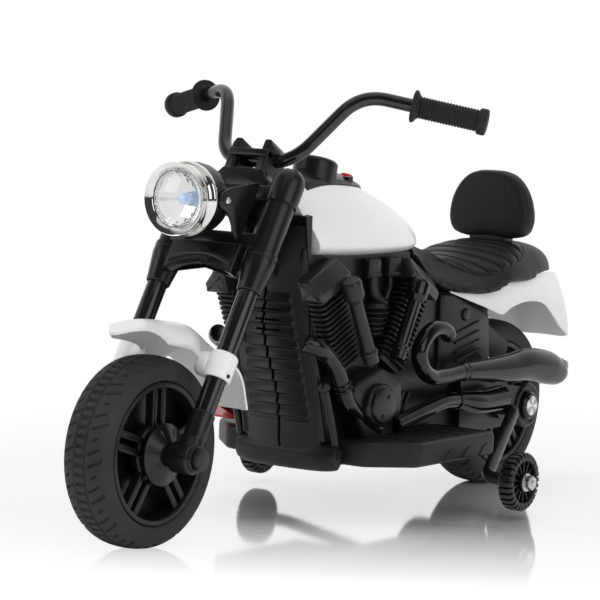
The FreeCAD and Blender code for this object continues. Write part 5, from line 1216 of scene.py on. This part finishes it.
rib_out = (12.0 + 7.0 * (rib_up - intake_low) / intake_tall) * (0.74 + 0.26 * rib_swell)
intake = np.concatenate([[(0.0, 206.0)], np.stack([rib_out, rib_up], -1),
                         [(18.6, 240.5), (15.0, 245.0), (8.0, 247.0), (0.0, 247.6)]])
trim.append(turned(intake, (54.0, -14.0, 0.0), (0, 0, 1), 48))
for step in (0.0, 13.0, 26.0):
    trim.append(drawn([(56.0, 26.0 + step, 112.0), (56.0, 40.0 + step, 138.0)], 2.6))
piece("coils_and_intake", both(trim), engine_black, "chassis", ["engine_trim"])

# Exhaust: gloss black plastic pipes on each flank. A header drops from the front rail through a double ring;
# a hooked pipe runs into a waved muffler above a second, lower pipe. Thin bands clamp the joints.
header_x, hook_x, lower_x = 68.0, 88.0, 78.0
header_radius, hook_radius = 10.0, 9.6


def beside(x, line):
    """Points of a pipe that keeps its distance from the middle, from (place along the bike, height)."""
    return [(x, y, z) for y, z in line]


header = through([(60.0, -152.0, 209.0), (66.0, -146.0, 206.0),
                  *beside(header_x, [(-123.0, 194.0), (-107.0, 181.0), (-94.0, 162.0), (-80.0, 140.0),
                                     (-56.0, 121.0), (-20.0, 103.0)])], 110)
hook = through(beside(hook_x, [(101.0, 199.0), (90.0, 210.0), (66.0, 214.0), (47.0, 206.0), (35.0, 190.0),
                               (41.0, 172.0), (60.0, 160.0), (87.0, 158.0), (127.0, 160.0)]), 160)
hook_run = np.linalg.norm(hook - hook[0], axis=1)
hook_tip = np.sqrt(1.0 - (1.0 - np.clip(hook_run / hook_radius, 0.0, 1.0)) ** 2)
muffler_shares = [(0.0, 0.0, 0.6, 0.6), (0.25, -0.006, 0.78, 0.80), (0.45, -0.01, 0.93, 1.02),
                  (0.67, -0.01, 1.04, 1.20), (0.79, -0.03, 1.04, 1.22), (0.87, -0.05, 0.95, 1.10),
                  (0.95, -0.04, 0.60, 0.70), (1.0, -0.024, 0.24, 0.26)]
muffler_length, muffler_radius, muffler_y, muffler_z, muffler_splay = 241.0, 17.0, 125.0, 160.0, 4.0
muffler_line = through(muffler_shares, 90)
muffler_run, muffler_wave, muffler_tall, muffler_wide = muffler_line.T
muffler = np.stack([hook_x + muffler_splay * muffler_run, muffler_y + muffler_length * muffler_run,
                    muffler_z + muffler_length * muffler_wave], -1)
lower_pipe = through(beside(lower_x, [(6.0, 107.0), (16.0, 109.0), (68.0, 119.0), (115.0, 126.0),
                                      (139.0, 125.0), (185.0, 119.0), (237.0, 120.0)]), 90)
lower_swell = 9.5 + 5.5 * eased(lower_pipe[:, 1], 128.0, 185.0)


def clamp_band(path, share, radius):
    """A thin bead round a path at a share of its length."""
    at = int(share * (len(path) - 1))
    bead = rounded([(radius - 3.0, -2.0), (radius, -2.0), (radius + 1.2, 0.0), (radius, 2.0),
                    (radius - 3.0, 2.0)], 0.6, 4)
    return turned(bead, path[at], path[min(at + 1, len(path) - 1)] - path[at - 1], 48, True)


pipes = [drawn(header, header_radius), clamp_band(header, 0.46, header_radius + 1.0),
         clamp_band(header, 0.50, header_radius + 1.0), drawn(hook, hook_radius * hook_tip),
         drawn(muffler, muffler_radius * muffler_wide, muffler_radius * muffler_tall, 48),
         drawn(lower_pipe, lower_swell), clamp_band(muffler, 0.03, hook_radius + 1.0),
         clamp_band(lower_pipe, 0.57, hook_radius + 1.0),
         drawn([(46.0, 150.0, 156.0), (84.0, 150.0, 156.0)], 7.0, 4.0)]
piece("exhausts_bent", both(pipes), engine_gloss, "chassis", ["exhausts"])

# Footboards: a moulded board on each flank with a cut outer front corner, low cross lines on the top and
# curved strokes on the outer wall. A hinged red pedal on the right board works the drive.
board_black = black_plastic("board_black", 0.012, 0.52, 700.0, 0.00016, 0.26)
board_inner, board_outer, board_front, board_rear = 52.0, 140.0, -84.0, 127.0
board_foot, board_top, board_edge, board_bevel = 68.0, 96.0, 5.5, 46.0
board_plan = rounded([(board_inner, board_front), (board_outer - board_bevel, board_front),
                      (board_outer, board_front + board_bevel), (board_outer, board_rear),
                      (board_inner, board_rear)], 9.0, 7)


def level(first, second, height):
    """A plate lying flat: outline in (across, along the bike), thickness upward."""
    return np.stack(np.broadcast_arrays(first, second, height), -1)


line_plan = oblong((70.0, -0.7), (board_outer - 8.0, 0.7), 0.6, 3)
lines = [slab(line_plan + np.array([0.0, y]), board_top - 1.0, board_top + 0.7, 0.3, level)
         for y in (-24.0, 4.0, 32.0, 60.0, 88.0, 112.0)]
strokes = []
for y in (16.0, 56.0, 92.0):
    stroke = [(board_outer - 0.2, y, board_foot + 3.0), (board_outer, y + 5.0, board_foot + 10.0),
              (board_outer - 0.2, y + 15.0, board_foot + 16.0)]
    strokes.append(drawn(through(stroke, 20), 1.1))
board = slab(board_plan, board_foot, board_top, board_edge, level)
piece("footboards_moulded", both([board, *lines, *strokes]), board_black, "chassis",
      ["footboard_left", "footboard_right"])

# Training wheels: one-piece black plastic wheels with tread blocks and thin ribs on a web. Each turns on a
# bolt in the end of a bent arm, and a zinc washer and hexagon nut hold it there.
wheel_place = np.array([184.0, 108.0, 44.0])
trainer_radius, trainer_half = 34.0, 9.0
block_count, web_rib_count = 28, 14
block_foot, block_depth, hub_bore, hub_radius, web_radius = 24.5, 4.2, 5.0, 9.0, 25.0


def block_gaps(turn, radius):
    """Slots between the tread blocks."""
    gap = np.abs((turn * block_count / (2 * np.pi)) % 1.0 - 0.5) * 2 * np.pi / block_count * trainer_radius
    return block_depth * band(gap, 0.9, 0.5) * eased(radius, 27.5, 29.5)


def trainer():
    """Tread ring, web, hub and ribs about the wheel's own axis."""
    ring = rounded([(block_foot, -trainer_half), (31.0, -trainer_half), (trainer_radius, -trainer_half + 2.4),
                    (trainer_radius, trainer_half - 2.4), (31.0, trainer_half), (block_foot, trainer_half),
                    (block_foot - 1.0, 3.0), (block_foot - 1.0, -3.0)], 1.4, 5)
    web = oblong((hub_bore, -3.0), (web_radius, 2.0), 0.5, 3)
    hub = oblong((hub_bore, -trainer_half), (hub_radius, trainer_half), 0.8, 4)
    shells = [turned(ring, wheel_place, (1, 0, 0), block_count * 20, True, block_gaps),
              turned(web, wheel_place, (1, 0, 0), 64, True), turned(hub, wheel_place, (1, 0, 0), 48, True)]
    rib = oblong((-0.9, hub_radius - 1.0), (0.9, web_radius), 0.4, 3)
    for i in range(web_rib_count):
        swing = 2 * np.pi * i / web_rib_count

        def place(across, out, height, swing=swing):
            y = across * np.cos(swing) + out * np.sin(swing)
            z = out * np.cos(swing) - across * np.sin(swing)
            return np.stack([height, y, z], -1) + wheel_place

        shells.append(slab(rib, -7.0, 6.6, 0.4, place))
    return shells


trainer_black = black_plastic("trainer_black", 0.010, 0.38, gloss=0.35)
piece("training_wheel_left_moulded", trainer(), trainer_black, "left_training_wheel",
      ["training_wheel_left"])
piece("training_wheel_right_moulded", mirrored(trainer()), trainer_black, "right_training_wheel",
      ["training_wheel_right"])
washer = oblong((4.5, 9.4), (10.5, 11.4), 0.5, 4)
nut_corner, nut_tall = 8.6, 8.0
nut_turn = np.pi / 6 + np.arange(6) * np.pi / 3
nut_plan = rounded(np.stack([nut_corner * np.cos(nut_turn), nut_corner * np.sin(nut_turn)], -1), 0.8, 4)
stud = rounded([(0.0, -20.0), (4.0, -20.0), (4.0, 20.6), (3.2, 21.4), (0.0, 21.4)], 0.4, 3, False)
nut_face = wheel_place[0] + 11.2
fixing = [turned(washer, wheel_place, (1, 0, 0), 48, True), turned(stud, wheel_place, (1, 0, 0), 32),
          slab(nut_plan + wheel_place[1:], nut_face, nut_face + nut_tall, 0.9, upright_plate)]
piece("training_bolts_plated", both(fixing), zinc, "chassis", ["training_bolts"], 25.0)

# Rear axle ends: a black moulded ring on each arm holds a pressed aluminium disc, turned in fine circles. The
# bright and dark fans on the disc are painted highlight and painted shade in its colour.
def turned_metal_painted_sheen(centre):
    """Bright metal with fine circular tool marks round a centre, and a painted highlight in four fans round
    it, dark between.
    """
    material, flow, shader, place = finish("turned_metal_painted_sheen", Metallic=1.0, Anisotropic=0.85)
    rearward = flow.node("ShaderNodeSeparateXYZ", {}, {0: place}, "Y")
    upward = flow.node("ShaderNodeSeparateXYZ", {}, {0: place}, "Z")
    out = ((rearward - centre[1]) ** 2.0 + (upward - centre[2]) ** 2.0) ** 0.5
    marks = flow.math("SINE", out * 9000.0)
    fans = flow.math("ARCTAN2", upward - centre[2], rearward - centre[1])
    # painted highlight and shade: the colour runs from dark to bright in four fans round the centre
    painted_fan_sheen = 0.5 + 0.5 * flow.math("COSINE", fans * 4.0 + 0.6)
    colour = painted_fan_sheen.mix((0.33, 0.33, 0.34, 1.0), (0.86, 0.86, 0.87, 1.0))
    feed(flow, shader, colour, 0.24 + 0.05 * marks, marks, 0.00003, 0.3)
    return material


ring_section = rounded([(12.5, 62.0), (17.5, 62.0), (17.5, 67.5), (15.0, 70.0), (12.5, 70.0)], 1.2, 5)
disc = rounded([(0.0, 64.0), (12.4, 64.0), (12.4, 70.0), (11.6, 71.0), (2.2, 70.8), (0.0, 70.4)], 0.4, 4,
               False)
arm_boss = rounded([(15.0, 60.0), (27.5, 60.0), (27.5, 63.4), (25.5, 64.8), (22.0, 64.8), (20.5, 63.4),
                    (15.0, 63.4)], 1.0, 4)
piece("axle_rings_moulded", both([turned(ring_section, rear_axle, (1, 0, 0), 64, True)]), engine_gloss,
      "chassis", ["rear_axle_rings"])
piece("arm_bosses", both([turned(arm_boss, rear_axle, (1, 0, 0), 80, True)]), body_black, "chassis")
piece("axle_discs_turned", both([turned(disc, rear_axle, (1, 0, 0), 64)]),
      turned_metal_painted_sheen(rear_axle * millimetre), "chassis", ["rear_axle_discs"])

# Rocker switch: a low black plastic paddle for forward and reverse, let into the cover beside the button.
paddle_low, paddle_high = 379.8, 386.6
paddle = slab(oblong((11.5, -25.5), (20.5, -14.5), 1.6, 5), paddle_low, paddle_high, 1.0, level)
piece("direction_paddle", [paddle], dash_black, "switch", ["direction_switch"])

# Backrest foot: a flat block of black plastic that stands in the tail of the seat under the backrest.
foot_half, foot_low, foot_high = 27.0, 286.0, 318.0
foot_plan = oblong((-foot_half, 316.0), (foot_half, 337.0), 5.0, 6)
piece("backrest_foot", [slab(foot_plan, foot_low, foot_high, 1.5, level)], body_black, "chassis",
      ["backrest_post"])

# Structure and drive as built: the split body, steering head, bent training arms and pedal, and inside the
# body the battery, motor and reduction gears. Each takes the finish of its material.
def gear_nylon():
    """Waxy pale nylon with faint clouding."""
    material, flow, shader, place = finish("gear_nylon", Specular_IOR_Level=0.4, Subsurface_Weight=0.05)
    clouds = noise(flow, place, 70.0)
    colour = clouds.clamped(0.3, 0.7).mix((0.62, 0.60, 0.54, 1.0), (0.72, 0.70, 0.65, 1.0))
    feed(flow, shader, colour, 0.36 + 0.12 * clouds, clouds, 0.0001, 0.3)
    return material


battery_grey = black_plastic("battery_grey", 0.11, 0.5)
nylon = gear_nylon()
finishes = {
    body_black: ["body_shell_left", "body_shell_right", "gear_case", "training_arms", "training_collars",
                 "charging_inlet"],
    tube_black: ["steering_stem", "steering_head"],
    zinc: ["front_axle", "rear_axle", "motor"],
    nylon: ["drive_gear", "idler_gear", "motor_pinion"],
    battery_grey: ["battery"],
    red: ["foot_pedal"],
}
for material, names in finishes.items():
    for name in names:
        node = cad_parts[name]
        node.data.materials.clear()
        node.data.materials.append(material)


# Studio: a pale glossy floor, soft boxes overhead, on the left and ahead on the right, and a long lens a
# little above the bars, looking from ahead on the left.
camera_place = Vector((1.7994, -2.6513, 0.5274))
camera_turn_deg = 35.0
camera_height_deg = 5.1
camera_roll_deg = 2.3
camera_data = bpy.data.cameras.new("studio_camera")
camera_data.lens = 168.0
camera_data.sensor_width = 36.0
camera = bpy.data.objects.new("studio_camera", camera_data)
turn, height, roll = (math.radians(a) for a in (camera_turn_deg, camera_height_deg, camera_roll_deg))
back = Vector((math.sin(turn) * math.cos(height), -math.cos(turn) * math.cos(height), math.sin(height)))
sideways = Vector((math.cos(turn), math.sin(turn), 0.0))
upward = back.cross(sideways)
right = sideways * math.cos(roll) + upward * math.sin(roll)
upright = upward * math.cos(roll) - sideways * math.sin(roll)
camera.matrix_world = Matrix.Translation(camera_place) @ Matrix((right, upright, back)).transposed().to_4x4()
bpy.context.scene.collection.objects.link(camera)
bpy.context.scene.camera = camera

floor_half = 6.0
floor_mesh = bpy.data.meshes.new("studio_floor")
floor_mesh.from_pydata([(-floor_half, -floor_half, 0.0), (floor_half, -floor_half, 0.0),
                        (floor_half, floor_half, 0.0), (-floor_half, floor_half, 0.0)], [], [(0, 1, 2, 3)])
floor = bpy.data.objects.new("studio_floor", floor_mesh)
bpy.context.scene.collection.objects.link(floor)
floor_finish, floor_flow, floor_shader, floor_place = finish(
    "studio_floor", Base_Color=(0.93, 0.93, 0.93, 1.0), Roughness=0.9, Specular_IOR_Level=0.0)
floor_seen = floor_flow.node("ShaderNodeLightPath", {}, {}, "Is Camera Ray")
gloss = floor_flow.node("ShaderNodeBsdfGlossy", {}, {"Color": (0.95, 0.95, 0.95, 1.0), "Roughness": 0.07})
paper = floor_flow.node("ShaderNodeEmission", {}, {"Color": (1.0, 1.0, 1.0, 1.0), "Strength": 1.0})
diffuse = Flow(floor_finish.node_tree, floor_shader.outputs[0])
polished = floor_flow.node("ShaderNodeMixShader", {}, {0: 0.72 * floor_seen, 1: diffuse, 2: gloss})
oval_place = floor_flow.node("ShaderNodeMapping", {}, {0: floor_place, 3: (1.35, 1.0, 1.0)})
outer = floor_flow.node("ShaderNodeVectorMath", {"operation": "LENGTH"}, {0: oval_place}, 1)
toward = floor_flow.node("ShaderNodeVectorMath", {"operation": "DOT_PRODUCT"},
                         {0: floor_place, 1: (0.57, -0.82, 0.0)}, 1)
far = floor_flow.math("MAXIMUM", outer.clamped(0.62, 1.15), toward.clamped(0.08, 0.44))
spread = floor_flow.node("ShaderNodeMixShader", {}, {0: far * floor_seen, 1: polished, 2: paper})
floor_finish.node_tree.links.new(spread.socket, floor_finish.node_tree.nodes["Material Output"].inputs[0])
floor_mesh.materials.append(floor_finish)


def soft_box(name, place, aim, wide, tall, watts):
    """A rectangular lamp turned to face a point."""
    data = bpy.data.lights.new(name, "AREA")
    data.shape = "RECTANGLE"
    data.size = wide
    data.size_y = tall
    data.energy = watts
    lamp = bpy.data.objects.new(name, data)
    direction = Vector(aim) - Vector(place)
    facing = direction.to_track_quat("-Z", "Y").to_matrix().to_4x4()
    lamp.matrix_world = Matrix.Translation(Vector(place)) @ facing
    bpy.context.scene.collection.objects.link(lamp)
    return lamp


bike_middle = (0.0, 0.0, 0.25)
soft_box("top_box", (0.2, -0.2, 2.6), bike_middle, 2.4, 2.8, 12.5)
soft_box("left_box", (3.0, -0.6, 1.5), bike_middle, 2.4, 2.2, 24.0)
soft_box("front_box", (-2.2, -2.6, 1.6), bike_middle, 1.8, 2.0, 21.0)

world = bpy.data.worlds.new("studio_world")
bpy.context.scene.world = world
world.use_nodes = True
sky = Flow(world.node_tree)
background = world.node_tree.nodes["Background"]
seen = sky.node("ShaderNodeLightPath", {}, {}, "Is Camera Ray")
mirrored_ray = sky.node("ShaderNodeLightPath", {}, {}, "Is Glossy Ray")
through_ray = sky.node("ShaderNodeLightPath", {}, {}, "Is Transmission Ray")
ambient, dark_side, backdrop = 0.78, 0.05, (-0.57, 0.82, 0.0)
direction = sky.node("ShaderNodeTexCoord", {}, {}, "Generated")
facing = sky.node("ShaderNodeVectorMath", {"operation": "DOT_PRODUCT"}, {0: direction, 1: backdrop}, 1)
mirrored_light = dark_side + (1.0 - dark_side) * facing.clamped(0.0, 0.7)
plain = sky.math("MAXIMUM", seen, through_ray)
strength = plain + (1.0 - plain) * (mirrored_light * mirrored_ray + ambient * (1.0 - mirrored_ray))
world.node_tree.links.new(strength.socket, background.inputs["Strength"])
background.inputs["Color"].default_value = (1.0, 1.0, 1.0, 1.0)
bpy.context.scene.view_settings.view_transform = "Standard"
